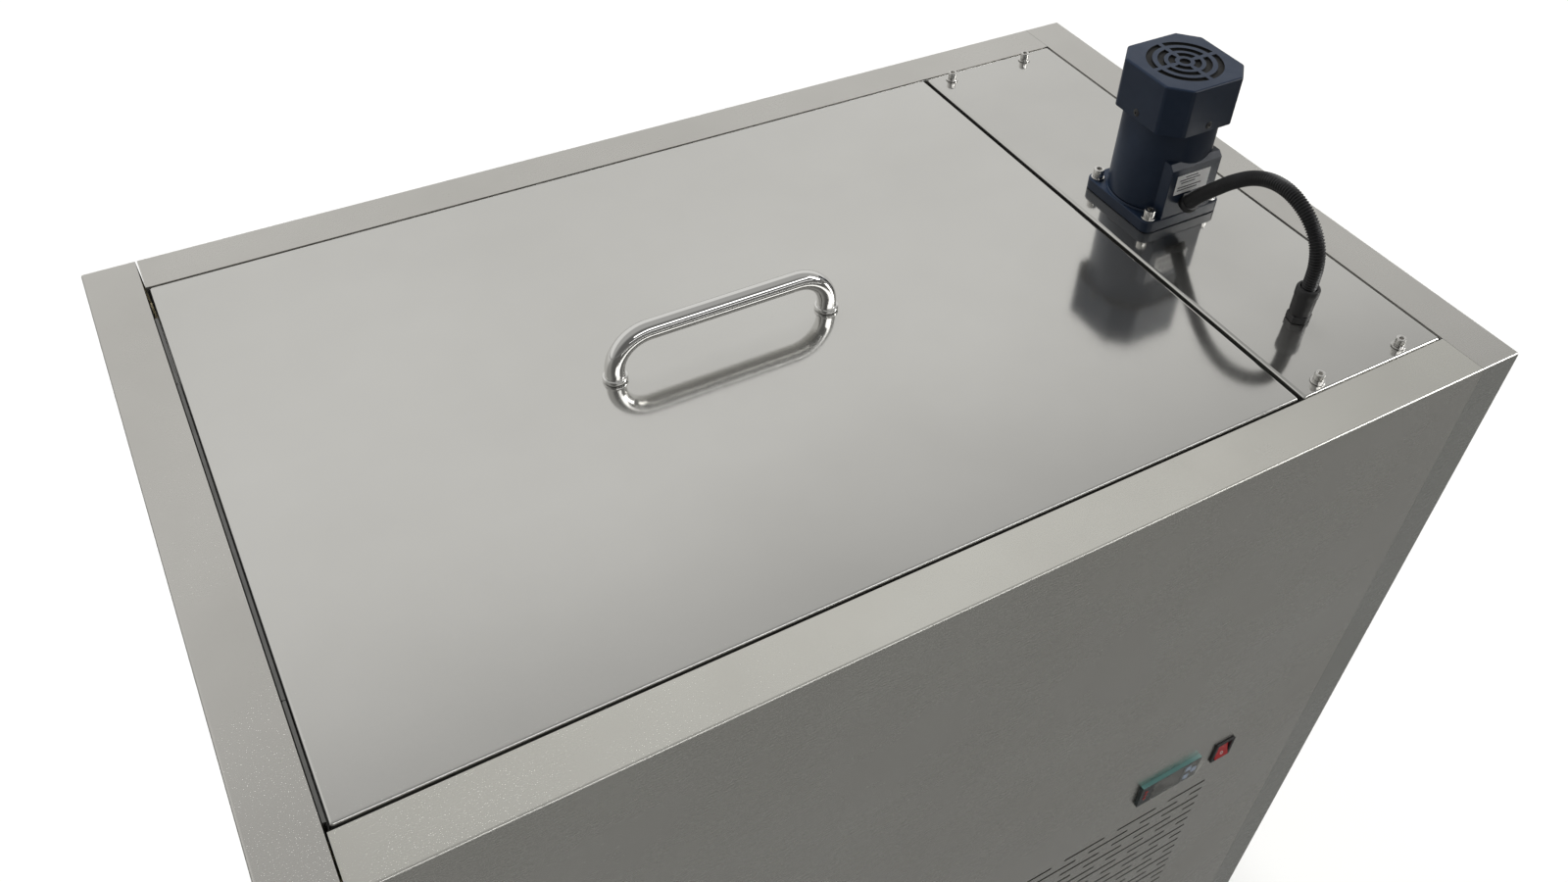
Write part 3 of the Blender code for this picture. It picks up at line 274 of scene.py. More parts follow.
def textured_paint(name, tone, worn, rough):
    """Sprayed paint with an orange-peel texture and slightly lighter rubbed patches."""
    mat = plain(name, tone, rough)
    graph = Graph(mat)
    graph.shine(0.22)
    graph.feed("Base Color", graph.clouds(graph.noise(30.0, 5.0, 0.6), tone, worn))
    graph.feed("Roughness", graph.span(graph.noise(70.0, 3.0), rough - 0.06, rough + 0.06))
    graph.feed("Normal", graph.bump(graph.noise(1400.0, 2.0), 0.35, 0.00015))
    return mat


def moulded(name, tone, rough, grain=900.0, strength=0.15):
    """Moulded plastic or rubber, with a fine spark-eroded grain."""
    mat = plain(name, tone, rough)
    graph = Graph(mat)
    lighter = [min(1.0, channel * 1.25 + 0.004) for channel in tone]
    graph.feed("Base Color", graph.clouds(graph.noise(45.0, 4.0, 0.6), tone, lighter))
    graph.feed("Roughness", graph.span(graph.noise(90.0, 3.0), rough - 0.07, rough + 0.07))
    graph.feed("Normal", graph.bump(graph.noise(grain, 2.0), strength, 0.0001))
    return mat


def foam_material(name):
    mat = plain(name, (0.8, 0.7, 0.44), 0.95)
    graph = Graph(mat)
    cells = graph.noise(320.0, 3.0, 0.6)
    graph.feed("Base Color", graph.clouds(cells, (0.84, 0.75, 0.5), (0.66, 0.55, 0.32)))
    graph.feed("Normal", graph.bump(cells, 0.6, 0.0006))
    return mat


def tarnished(name, fresh, dull, rough):
    """Copper or aluminium that has dulled unevenly."""
    mat = plain(name, fresh, rough, 1.0)
    graph = Graph(mat)
    graph.feed("Base Color", graph.clouds(graph.noise(26.0, 6.0, 0.65), fresh, dull))
    graph.feed("Roughness", graph.span(graph.noise(50.0, 4.0), rough - 0.1, rough + 0.15))
    graph.feed("Normal", graph.bump(graph.noise(700.0, 2.0), 0.1, 0.0001))
    return mat


def window_material():
    mat = plain("window", (0.03, 0.03, 0.028), 0.3)
    graph = Graph(mat)
    graph.shine(0.25)
    tones = ((0.022, 0.022, 0.02), (0.036, 0.036, 0.033))
    graph.feed("Base Color", graph.clouds(graph.noise(18.0, 3.0), *tones))
    return mat


def film_material():
    """Clear film, a little milky, that has gone cloudy in patches."""
    mat = plain("clear_film", (0.86, 0.86, 0.8), 0.4)
    graph = Graph(mat)
    graph.shine(0.3)
    graph.feed("Alpha", graph.span(graph.noise(30.0, 2.0), 0.04, 0.12))
    graph.feed("Normal", graph.bump(graph.noise(40.0, 1.0), 0.2, 0.0004))
    return mat


MATS = {
    "lid": sheet_steel("lid_steel", (0.6, 0.595, 0.575), (0.56, 0.555, 0.535), (0.08, 0.13)),
    "strip": sheet_steel("strip_steel", (0.57, 0.565, 0.545), (0.52, 0.515, 0.495), (0.07, 0.12)),
    "rim": sheet_steel("rim_steel", (0.56, 0.55, 0.525), (0.51, 0.5, 0.475), (0.25, 0.34)),
    "front": sheet_steel("front_steel", (0.62, 0.615, 0.575), (0.57, 0.56, 0.52), (0.22, 0.31)),
    # A darker copy of the rim steel: painted shade on the side panels' front returns.
    "return": sheet_steel("return_steel_painted_shade", (0.53, 0.535, 0.505), (0.48, 0.485, 0.455), (0.24, 0.33)),
    "inner": sheet_steel("inner_steel", (0.6, 0.6, 0.585), (0.55, 0.55, 0.535), (0.2, 0.28)),
    "fitting": bright_steel("fitting_steel", (0.58, 0.575, 0.56), 0.24),
    "screw": bright_steel("screw_steel", (0.66, 0.65, 0.63), 0.2),
    "mirror": bright_steel("polished_steel", (0.72, 0.715, 0.7), 0.045, 0.008),
    "shaft": bright_steel("shaft_steel", (0.34, 0.34, 0.35), 0.32),
    "hinge": bright_steel("hinge_steel", (0.17, 0.17, 0.165), 0.36),
    "navy": textured_paint("navy_paint", (0.012, 0.021, 0.042), (0.018, 0.029, 0.053), 0.34),
    "gear_case": textured_paint("gear_case_paint", (0.035, 0.048, 0.07), (0.05, 0.06, 0.08), 0.5),
    "enamel": textured_paint("black_enamel", (0.012, 0.012, 0.013), (0.02, 0.02, 0.02), 0.35),
    "black": moulded("black_plastic", (0.012, 0.012, 0.013), 0.45),
    "conduit": moulded("conduit_plastic", (0.007, 0.007, 0.008), 0.38),
    "keys": moulded("key_plastic", (0.3, 0.36, 0.46), 0.4),
    "red": moulded("rocker_red", (0.42, 0.01, 0.014), 0.22, 600.0, 0.05),
    "led": moulded("led_red", (0.5, 0.02, 0.02), 0.3, 600.0, 0.05),
    # A bright copy of the controller case's teal: painted light on the case's top.
    "lit_top": moulded("case_top_painted_light", (0.16, 0.37, 0.36), 0.2, 600.0, 0.05),
    "case": moulded("controller_case", (0.01, 0.019, 0.02), 0.3, 600.0, 0.08),
    "mark": moulded("print_white", (0.8, 0.8, 0.8), 0.5),
    "label": moulded("label_white", (1.0, 1.0, 0.99), 0.4),
    "print": moulded("print_grey", (0.05, 0.05, 0.055), 0.6),
    # Near-black for the fan wheel, and painted shade on the inside of the cowl.
    "black_and_shade": moulded("fan_black_and_cowl_shade", (0.004, 0.004, 0.004), 0.7),
    # Near-black for the seam strips: painted shade in the gaps.
    "seam_shade": moulded("seam_painted_shade", (0.006, 0.006, 0.006), 0.8),
    "rubber": moulded("gasket_rubber", (0.42, 0.42, 0.41), 0.6),
    "foam": foam_material("foam"),
    "copper": tarnished("copper_tube", (0.78, 0.42, 0.28), (0.46, 0.26, 0.18), 0.35),
    "aluminium": tarnished("condenser_aluminium", (0.72, 0.73, 0.74), (0.58, 0.59, 0.6), 0.42),
    "window": window_material(),
    "film": film_material(),
}


def bow_rim(mat):
    """Tilts the front rim's shading by a bump, as if its middle dipped a little towards the lid, as a long
    folded rim does.
    """
    graph = Graph(mat)
    parts = graph.add("SeparateXYZ", {}, {"Vector": graph.place})
    across = parts.outputs["X"]
    dip = graph.span(parts.outputs["Y"], 0.0, -RIM_DIP, CORNER.y, CORNER.y + 0.043)
    for span, levels in (((-0.1, 0.5), (0.0, 1.0)), ((0.6, 0.92), (1.0, 0.0))):
        fade = ramp(graph.tree, across, [CORNER.x + x for x in span], levels)
        dip = graph.calculate("MULTIPLY", dip, fade)
    under = graph.shader.inputs["Normal"].links[0].from_socket
    graph.feed("Normal", graph.bump(dip, 1.0, 1.0, under))


bow_rim(MATS["front"])

# The look that each slot of the record stands for.
SLOT_MATS = {
    "stainless_sheet": ("lid", "strip", "rim", "front"),
    "stainless_inner": ("inner",),
    "stainless_fittings": ("fitting", "hinge"),
    "stainless_screws": ("screw",),
    "polished_handle": ("mirror",),
    "navy_paint": ("navy", "label"),
    "black_plastic": ("black", "black_and_shade", "case", "lit_top", "print", "mark"),
    "black_conduit": ("conduit",),
    "gasket_rubber": ("rubber", "seam_shade"),
    "display_window": ("window", "film"),
    "red_rocker": ("red", "led"),
    "grey_keys": ("keys",),
}
SLOTS = {mat: slot for slot, mats in SLOT_MATS.items() for mat in mats}

# ---------------------------------------------------------------- mesh tools


def sharpen(mesh, angle=38):
    mesh.shade_smooth()
    mesh.set_sharp_from_angle(angle=math.radians(angle))


def weigh_normals(obj):
    modifier = obj.modifiers.new("weighted", "WEIGHTED_NORMAL")
    modifier.keep_sharp = True
    modifier.weight = 80


def soften(obj, width, segments=2, angle=50):
    """Rounds the sharp edges of a piece."""
    modifier = obj.modifiers.new("edges", "BEVEL")
    modifier.width = width
    modifier.segments = segments
    modifier.limit_method = "ANGLE"
    modifier.angle_limit = math.radians(angle)
    modifier.use_clamp_overlap = True


def piece(name, maker, mat, body="cabinet", replaces=(), edge=0.0, slot=None, angle=38):
    """Makes a piece from a bmesh given from the cabinet's corner, and ties it to its body."""
    bmesh.ops.recalc_face_normals(maker, faces=maker.faces)
    maker.transform(Matrix.Translation(CORNER))
    mesh = bpy.data.meshes.new(name)
    maker.to_mesh(mesh)
    maker.free()
    mesh.materials.append(MATS[mat])
    sharpen(mesh, angle)
    obj = show(name, mesh)
    if edge:
        soften(obj, edge)
    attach(obj, body)
    slot = slot or SLOTS[mat]
    if replaces:
        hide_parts(*replaces)
    return obj


def keep(node, mat, edge=0.0):
    """Keeps a CAD node, with a new material and softened edges."""
    obj = nodes[node]
    obj.data.materials.clear()
    obj.data.materials.append(MATS[mat])
    if edge:
        soften(obj, edge)
        weigh_normals(obj)


def merged(*makers):
    """Several bmeshes as one."""
    whole = bmesh.new()
    for maker in makers:
        mesh = bpy.data.meshes.new("part")
        bmesh.ops.recalc_face_normals(maker, faces=maker.faces)
        maker.to_mesh(mesh)
        maker.free()
        whole.from_mesh(mesh)
        bpy.data.meshes.remove(mesh)
    return whole


def rounded(maker, edges, radius, segments):
    bmesh.ops.bevel(maker, geom=edges, offset=radius, segments=segments, profile=0.5, affect="EDGES")


def block(low, high, corner=0.0, axis=2, segments=5):
    """A box, with the four edges that run along an axis rounded."""
    maker = bmesh.new()
    bmesh.ops.create_cube(maker, size=1.0)
    for vert in maker.verts:
        vert.co = [low[i] if vert.co[i] < 0 else high[i] for i in range(3)]
    if corner:
        along = [
            edge for edge in maker.edges
            if abs((edge.verts[0].co - edge.verts[1].co).normalized()[axis]) > 0.9
        ]
        rounded(maker, along, corner, segments)
    return maker


def inset_cutter(node, inset, reach):
    """A box through y, a little smaller than a CAD node's face."""
    low, high = local(node)
    return block((low.x + inset, -reach, low.z + inset), (high.x - inset, reach, high.z - inset))


def folded(low, high, open_sides, radius=FOLD, segments=4):
    """A box of folded sheet without its open sides, such as "-z". Its folds are rounded."""
    maker = block(low, high)
    shut = []
    for face in maker.faces:
        axis = max(range(3), key=lambda i: abs(face.normal[i]))
        side = ("+" if face.normal[axis] > 0 else "-") + "xyz"[axis]
        if side in open_sides:
            shut.append(face)
    folds = [edge for edge in maker.edges if not any(face in shut for face in edge.link_faces)]
    planes = [(face.calc_center_median(), face.normal.copy()) for face in shut]
    rounded(maker, folds, radius, segments)

    def lies_in(face, middle, normal):
        level = abs((face.calc_center_median() - middle).dot(normal))
        return face.normal.dot(normal) > 0.999 and level < 1e-6

    gone = [face for face in maker.faces if any(lies_in(face, *plane) for plane in planes)]
    bmesh.ops.delete(maker, geom=gone, context="FACES")
    return maker


def thicken(obj, thickness, edge=0.0003):
    modifier = obj.modifiers.new("sheet", "SOLIDIFY")
    modifier.thickness = thickness
    modifier.offset = -1
    modifier.use_even_offset = True
    if edge:
        soften(obj, edge, 2, 60)


def arc(centre, radius, start, end, steps):
    """Points on a circle, as pairs, from one angle to another, both in radians."""
    x, y = centre
    angles = [start + (end - start) * i / steps for i in range(steps + 1)]
    return [(x + radius * math.cos(a), y + radius * math.sin(a)) for a in angles]


def bridge(maker, rings, caps=True):
    """Joins rings of vertices into a tube, with a face on each end."""
    if caps:
        maker.faces.new(rings[0])
        maker.faces.new(rings[-1])
    for low, high in zip(rings, rings[1:]):
        for k in range(len(low)):
            m = (k + 1) % len(low)
            maker.faces.new((low[k], low[m], high[m], high[k]))


def prism(outline, low, high, axis="Z"):
    """An outline of pairs, extruded. On axis X the pairs are y and z, on Y x and z."""
    order = {"X": (2, 0, 1), "Y": (0, 2, 1), "Z": (0, 1, 2)}[axis]
    maker = bmesh.new()
    rings = []
    for level in (low, high):
        corners = [(*pair, level) for pair in outline]
        rings.append([maker.verts.new([c[i] for i in order]) for c in corners])
    bridge(maker, rings)
    return maker


AXIS_TURNS = {
    "X": Matrix.Rotation(math.radians(90), 4, "Y"),
    "Y": Matrix.Rotation(math.radians(-90), 4, "X"),
    "Z": Matrix.Identity(4),
}


def turned(profile, centre=(0, 0, 0), axis="Z", steps=48):
    """A solid of revolution from a closed outline of (radius, height) pairs."""
    maker = bmesh.new()
    rings = []
    for radius, height in profile:
        angles = [2 * math.pi * i / steps for i in range(steps if radius > 0 else 1)]
        ring = [(radius * math.cos(a), radius * math.sin(a), height) for a in angles]
        rings.append([maker.verts.new(point) for point in ring])
    for low, high in zip(rings, rings[1:] + rings[:1]):
        if len(low) == len(high) == 1:
            continue
        for i in range(steps):
            j = i + 1
            ends = (low[i % len(low)], low[j % len(low)], high[j % len(high)], high[i % len(high)])
            maker.faces.new(list(dict.fromkeys(ends)))
    maker.transform(Matrix.Translation(centre) @ AXIS_TURNS[axis])
    return maker


def rod(radius, low, high, centre=(0, 0, 0), axis="Z", steps=48, chamfer=0.0):
    profile = [(0, low), (radius, low), (radius, high), (0, high)]
    if chamfer:
        inner = radius - chamfer
        profile[1:3] = [(inner, low), (radius, low + chamfer), (radius, high - chamfer), (inner, high)]
    return turned(profile, centre, axis, steps)


def hexagon(radius, centre, turn=0.0):
    return arc(centre, radius, turn, turn + 2 * math.pi, 6)[:-1]


def filleted(points, radius, segments=10):
    points = [Vector(point) for point in points]
    route = [points[0]]
    for before, corner, after in zip(points, points[1:], points[2:]):
        inward = (corner - before).normalized()
        outward = (after - corner).normalized()
        half = inward.angle(outward) / 2
        start = corner - inward * radius * math.tan(half)
        centre = start + (outward - inward * inward.dot(outward)).normalized() * radius
        axis = inward.cross(outward).normalized()
        for i in range(segments + 1):
            route.append(centre + Matrix.Rotation(2 * half * i / segments, 3, axis) @ (start - centre))
    route.append(points[-1])
    return route


def swept(route, radii, sides=32, caps=True):
    """A tube along a route. radii is one radius, or one for each point."""
    route = [Vector(point) for point in route]
    if not hasattr(radii, "__len__"):
        radii = [radii] * len(route)
    maker = bmesh.new()
    directions = [(b - a).normalized() for a, b in zip(route, route[1:])]
    side = directions[0].orthogonal().normalized()
    angles = [2 * math.pi * k / sides for k in range(sides)]
    rings = []
    for i, (point, radius) in enumerate(zip(route, radii)):
        back = directions[max(i - 1, 0)]
        ahead = directions[min(i, len(directions) - 1)]
        along = (back + ahead).normalized()
        side = (side - along * side.dot(along)).normalized()
        other = along.cross(side)
        ring = [point + radius * (side * math.cos(a) + other * math.sin(a)) for a in angles]
        rings.append([maker.verts.new(place) for place in ring])
    bridge(maker, rings, caps)
    return maker


def smooth_route(points, per_span):
    """A Catmull-Rom curve through the points."""
    points = [Vector(point) for point in points]
    ends = [2 * points[0] - points[1], *points, 2 * points[-1] - points[-2]]
    route = []
    for a, b, c, d in zip(ends, ends[1:], ends[2:], ends[3:]):
        for i in range(per_span):
            t = i / per_span
            curve = (2 * a - 5 * b + 4 * c - d) * t**2 + (3 * b - a - 3 * c + d) * t**3
            route.append(0.5 * (2 * b + (c - a) * t + curve))
    return [*route, points[-1]]


def evenly(route, step):
    """The same route with points a step apart."""
    out = [route[0]]
    left = step
    for a, b in zip(route, route[1:]):
        length = (b - a).length
        done = 0.0
        while length - done >= left:
            done += left
            out.append(a + (b - a) * (done / length))
            left = step
        left -= length - done
    return out


def carve(obj, makers):
    """Cuts shapes, given from the cabinet's corner, out of a piece, and applies its modifiers."""
    whole = merged(*makers)
    whole.transform(Matrix.Translation(CORNER))
    mesh = bpy.data.meshes.new("cutter")
    whole.to_mesh(mesh)
    whole.free()
    cutter = show("cutter", mesh)
    modifier = obj.modifiers.new("carve", "BOOLEAN")
    modifier.operation = "DIFFERENCE"
    modifier.solver = "EXACT"
    modifier.object = cutter
    bpy.context.view_layer.update()
    graph = bpy.context.evaluated_depsgraph_get()
    shape = bpy.data.meshes.new_from_object(obj.evaluated_get(graph))
    obj.modifiers.clear()
    old = obj.data
    obj.data = shape
    shape.name = obj.name
    bpy.data.meshes.remove(old)
    bpy.data.objects.remove(cutter)
    sharpen(shape)


# ---------------------------------------------------------------- cabinet


def make_side(node, open_side):
    """One end of the shell: wall, rim and returns of one sheet, and the lip folded down inside the rim."""
    low, high = local(node)
    strip_low, strip_high = local("strip_panel")
    if open_side == "+x":
        rim = local("lid_skin")[0].x - 0.0035
        high.x = rim
        lip, shelf = (rim - SHEET, rim), (rim, rim + SHELF)
    else:
        rim = strip_high.x + 0.001
        low.x = rim
        lip, shelf = (rim, rim + SHEET), (rim - SHELF, rim)
    shell = piece(node + "_skin", folded(low, high, (open_side, "-z")), "rim", replaces=(node,))
    # Faces that look to the front get the darker return steel: painted shade, a shaded copy of this sheet's
    # rim steel.
    shell.data.materials.append(MATS["return"])
    for face in shell.data.polygons:
        face.material_index = int(face.normal.y < -0.9)
    thicken(shell, SHEET)
    weigh_normals(shell)
    near, far = strip_low.y - 0.001, strip_high.y + 0.0005
    plate = block((lip[0], near, LIP_LOW), (lip[1], far, LIP_TOP))
    ledge = block((shelf[0], near, LIP_LOW), (shelf[1], far, SHELF_TOP))
    piece(node + "_lip", merged(plate, ledge), "rim", edge=0.0003)


def make_seam_painted_shade():
    """Near-black strips in the four seams between the side panels and the front and back: painted shade,
    standing in for the dark of the gaps.
    """
    depth = local("back_panel")[1].y
    front_low, front_high = local("front_panel")
    seams = {
        "left": (local("left_side_panel")[1].x, front_low.x),
        "right": (front_high.x, local("right_side_panel")[0].x),
    }
    rim, inner, bottom = 0.04, 0.003, -0.96
    faces = {
        "front": ((SEAM_SHADE_DROP, rim), (SEAM_SHADE_DROP, inner)),
        "back": ((depth - rim, depth - SEAM_SHADE_DROP), (depth - inner, depth - SEAM_SHADE_DROP)),
    }
    for side, (x0, x1) in seams.items():
        for face, (along, wall) in faces.items():
            seam = block((x0, wall[0], bottom), (x1, wall[1], -SEAM_SHADE_DROP))
            flat = block((x0, along[0], -inner), (x1, along[1], -SEAM_SHADE_DROP))
            piece(f"seam_shade_strip_{face}_{side}", merged(seam, flat), "seam_shade")


def stadium(length, centre, low, high):
    """A slot with round ends in the front or back, as a cutter through y."""
    x, z = centre
    r = 0.0034 / 2
    reach = length / 2 - r
    right = arc((x + reach, z), r, -math.pi / 2, math.pi / 2, 6)
    left = arc((x - reach, z), r, math.pi / 2, 3 * math.pi / 2, 6)
    return prism(right + left, low, high, "Y")


def vent_cutters(y, rows, columns):
    """Rows of slots. Every second row is half a pitch along, with a short slot at its right end."""
    cutters = []
    length, pitch, row_pitch = 0.052, 0.0677, 0.0156
    right, top = 0.827, -0.53
    for row in range(rows):
        z = top - row * row_pitch
        odd = row % 2
        ends = [(right - (column + odd / 2) * pitch, length) for column in range(columns)]
        if odd:
            ends.append((right, length - pitch / 2))
        cutters += [stadium(long, (end - long / 2, z), y - 0.01, y + 0.01) for end, long in ends]
    return cutters


def front_cutters():
    pipe_low, pipe_high = local("outlet_pipe")
    return [
        inset_cutter("thermostat_case", 0.0025, 0.01),
        inset_cutter("switch_housing", 0.0015, 0.01),
        rod(0.02, -0.01, 0.01, ((pipe_low.x + pipe_high.x) / 2, 0, OUTLET[2]), "Y"),
    ]


def make_front_and_back():
    depth = local("back_panel")[1].y
    cord_hole = rod(0.0068, -0.01, 0.01, (CORD[0], depth, CORD[1]), "Y")
    for node, mat, far_side, rim, sign, vents, holes in (
        ("front_panel", "front", "+y", 0.043, 1, (0.0, 17, 6), front_cutters()),
        ("back_panel", "rim", "-y", 0.041, -1, (depth, 9, 4), [cord_hole]),
    ):
        low, high = local(node)
        if sign > 0:
            y = high.y = rim
        else:
            y = low.y = depth - rim
        skin = piece(node + "_skin", folded(low, high, ("-x", "+x", "-z", far_side)), mat, replaces=(node,))
        thicken(skin, SHEET, 0.0)
        carve(skin, vent_cutters(*vents) + holes)
        weigh_normals(skin)
        lip = sorted((y - sign * SHEET, y))
        shelf = sorted((y, y + sign * SHELF))
        plate = block((low.x, lip[0], LIP_LOW), (high.x, lip[1], LIP_TOP))
        ledge = block((low.x + 0.016, shelf[0], LIP_LOW), (high.x - 0.016, shelf[1], SHELF_TOP))
        piece(node + "_lip", merged(plate, ledge), "rim", edge=0.0003)


def make_lid():
    low, high = local("lid_skin")
    skin = piece("lid_cover", folded(low, high, ("-z",), 0.0024, 5), "lid", "lid", ("lid_skin",))
    thicken(skin, 0.0012)
    weigh_normals(skin)
    keep("lid_liner", "inner", 0.0004)
    keep("lid_insulation", "foam", 0.0004)
    # The gasket is a soft bulb on a flat foot, run round the liner's edge.
    low, high = local("lid_gasket")
    inset, corner = 0.0045, 0.006
    near = inset + corner
    x0, x1, y0, y1 = low.x + near, high.x - near, low.y + near, high.y - near
    z = (low.z + high.z) / 2 + 0.0012
    loop = []
    for quarter, centre in enumerate(((x1, y0), (x1, y1), (x0, y1), (x0, y0)), -1):
        loop += arc(centre, corner, quarter * math.pi / 2, (quarter + 1) * math.pi / 2, 6)
    bulb = arc((0, 0), 1, math.radians(20), math.radians(-200), 11)
    profile = [(-0.0042, 0.004), (0.0042, 0.004), (0.0042, 0.0026), (0.0022, 0.002)]
    profile += [(0.0033 * u, 0.0026 * w - 0.0004) for u, w in bulb]
    profile += [(-0.0022, 0.002), (-0.0042, 0.0026)]
    maker = bmesh.new()
    rings = []
    for before, here, after in zip(loop[-1:] + loop, loop, loop[1:] + loop[:1]):
        along = (Vector(after) - Vector(before)).normalized()
        ring = [(here[0] + along.y * u, here[1] - along.x * u, z + w) for u, w in profile]
        rings.append([maker.verts.new(point) for point in ring])
    bridge(maker, rings + rings[:1], False)
    piece("lid_seal", maker, "rubber", "lid", ("lid_gasket",))


def make_handle():
    low, high = local("lid_handle")
    radius, collar, bend, foot = 0.008, 0.01, 0.03, PROUD
    left, right, y = low.x + collar, high.x - collar, (low.y + high.y) / 2
    height = high.z - radius
    points = [(left, y, foot), (left, y, height), (right, y, height), (right, y, foot)]
    bar = swept(filleted(points, bend, 16), radius, 48)
    piece("handle_bar", bar, "mirror", "lid", ("lid_handle",))
    profile = [
        (0.0081, 0.0), (0.0094, 0.0), (0.0099, 0.0008), (0.01, 0.0024), (0.0096, 0.0036),
        (0.0088, 0.0041), (0.0081, 0.0041),
    ]
    for number, x in enumerate((left, right), 1):
        piece(f"handle_collar_{number}", turned(profile, (x, y, foot), steps=64), "mirror", "lid")


def make_strip():
    low, high = local("strip_panel")
    lid_side = 0.799
    plate_low = Vector((lid_side, low.y, low.z))
    plate = folded(plate_low, high, ("-z",), 0.0028, 6)
    strip = piece("strip_cover", plate, "strip", replaces=("strip_panel",))
    thicken(strip, SHEET, 0.0)
    carve(strip, [rod(0.031, -0.01, 0.01, MOTOR_AXIS), rod(0.008, -0.01, 0.01, (*GLAND, 0))])
    weigh_normals(strip)
    ledge = block(low, (lid_side + 0.0002, high.y, low.z + SHEET))
    piece("strip_ledge", ledge, "strip", edge=0.0003)


def make_vat():
    low, high = local("milk_vat")
    inset, corner = 0.0602, 0.03
    tub_low = Vector((inset, inset, low.z))
    tub_high = Vector((CABINET[0] - inset, CABINET[1] - inset, high.z - 0.0002))
    maker = block(tub_low, tub_high, corner, segments=8)
    bottom = [edge for edge in maker.edges if all(abs(v.co.z - tub_low.z) < 1e-6 for v in edge.verts)]
    rounded(maker, bottom, 0.012, 4)
    top = [face for face in maker.faces if face.normal.z > 0.99]
    bmesh.ops.delete(maker, geom=top, context="FACES")
    tub = piece("vat_tub", maker, "inner", replaces=("milk_vat",))
    thicken(tub, SHEET, 0.0)
    carve(tub, [rod(0.0165, low.z - 0.01, low.z + 0.01, (*OUTLET[:2], 0))])
    weigh_normals(tub)
    flange = piece("vat_flange", block((low.x, low.y, high.z - SHEET), high), "inner")
    mouth = inset + 0.0004
    hole = block((mouth, mouth, -0.1), (CABINET[0] - mouth, CABINET[1] - mouth, 0.1), corner, segments=8)
    carve(flange, [hole])


def make_hinge():
    """Rolled knuckles with leaves, and the pin between them."""
    x, z, r = 0.043, -0.00145, 0.00145
    bore, chamfer, play = 0.0009, 0.0002, 0.0003
    first, near, far, last = 0.05, 0.141, 0.457, 0.543
    leaf_low = -0.02

    def knuckle(a, b):
        wall = r - chamfer
        profile = [(bore, a), (wall, a), (r, a + chamfer), (r, b - chamfer), (wall, b), (bore, b)]
        return turned(profile, (x, 0, z), "Y", 24)

    x0, x1 = 0.0415, 0.0422
    fixed = [block((x0, first, leaf_low), (x1, last, -0.008))]
    for a, b in ((first, near - play), (far + play, last)):
        fixed += [knuckle(a, b), block((x0, a, -0.009), (x1, b, z))]
    piece("hinge_fixed_half", merged(*fixed), "hinge", replaces=("hinge_cabinet_leaf",))
    lid_x = local("lid_skin")[0].x
    a, b = near + play, far - play
    moving = [knuckle(a, b), block((lid_x - 0.001, a, leaf_low), (lid_x - 0.0003, b, z))]
    piece("hinge_moving_half", merged(*moving), "hinge", "lid", ("hinge_lid_leaf",))
    pin = rod(0.0008, first + 0.0005, last - 0.0005, (x, 0, z), "Y", 20, chamfer)
    piece("hinge_rod", pin, "hinge", replaces=("hinge_pin",))


# ---------------------------------------------------------------- fasteners

SHANK = 0.0024
WASHER_HOLE = 0.0026
WASHER = 0.0011


def cap_screw(centre, base, head_r, height, shank_low, socket_r):
    """A socket head cap screw standing on base."""
    x, y = centre
    top = base + height
    head = [
        (0, shank_low), (SHANK - 0.0003, shank_low), (SHANK, shank_low + 0.0003), (SHANK, base),
        (head_r - 0.0002, base), (head_r, base + 0.0002), (head_r, top - 0.0007),
        (head_r - 0.0002, top - 0.0002), (head_r - 0.0007, top), (socket_r * 1.12, top),
        (socket_r, top - 0.0003), (socket_r, top - height * 0.55), (0, top - height * 0.62),
    ]
    maker = turned(head, (x, y, 0), steps=48)
    # The socket is six-sided: its round wall is pulled in to a hexagon.
    for vert in maker.verts:
        offset = Vector((vert.co.x - x, vert.co.y - y))
        if vert.co.z > top - height * 0.6 and 0.0 < offset.length <= socket_r * 1.01:
            angle = math.atan2(offset.y, offset.x) % (math.pi / 3) - math.pi / 6
            reach = socket_r * math.cos(math.pi / 6) / math.cos(angle)
            offset = offset.normalized() * reach
            vert.co.x, vert.co.y = x + offset.x, y + offset.y
    return maker


def washer(centre, base, outer):
    c = WASHER * 0.2
    top = base + WASHER
    profile = [
        (WASHER_HOLE, base), (outer - c, base), (outer, base + c), (outer, top - c), (outer - c, top),
        (WASHER_HOLE, top),
    ]
    return turned(profile, (*centre, 0))


def split_washer(centre, base, outer, cut_angle):
    """A spring washer: a ring with a slanted cut, slightly wound up."""
    x, y = centre
    maker = bmesh.new()
    steps, lift = 44, 0.00025
    rings = []
    for i in range(steps + 1):
        t = i / steps
        angle = cut_angle + math.radians(6) + t * math.radians(348)
        ring = []
        for radius, level in ((WASHER_HOLE, 0), (outer, 0), (outer, 1), (WASHER_HOLE, 1)):
            turn = angle + level * math.radians(4)
            z = base + level * WASHER + lift * t
            ring.append(maker.verts.new((x + radius * math.cos(turn), y + radius * math.sin(turn), z)))
        rings.append(ring)
    bridge(maker, rings)
    return maker


def make_screw(name, seat, top_drop, radii, flat_base, spring_base, turn):
    """A socket head cap screw with its flat washer and, above it, its spring washer."""
    head_r, socket_r, flat_r, spring_r = radii
    low, high = local(name)
    centre = upright(name)
    cap = cap_screw(centre, seat, head_r, high.z - seat - top_drop, low.z, socket_r)
    piece(name + "_cap", cap, "screw", replaces=(name,))
    piece(name + "_washer", washer(centre, flat_base, flat_r), "screw")
    piece(name + "_spring_washer", split_washer(centre, spring_base, spring_r, turn), "screw")


def make_strip_screws():
    radii = (0.00425, 0.0023, 0.00615, 0.0043)
    for number in range(1, 5):
        make_screw(f"strip_screw_{number}", 0.0029, 0.0, radii, PROUD, 0.00145, 1.3 * number)


# ---------------------------------------------------------------- motor


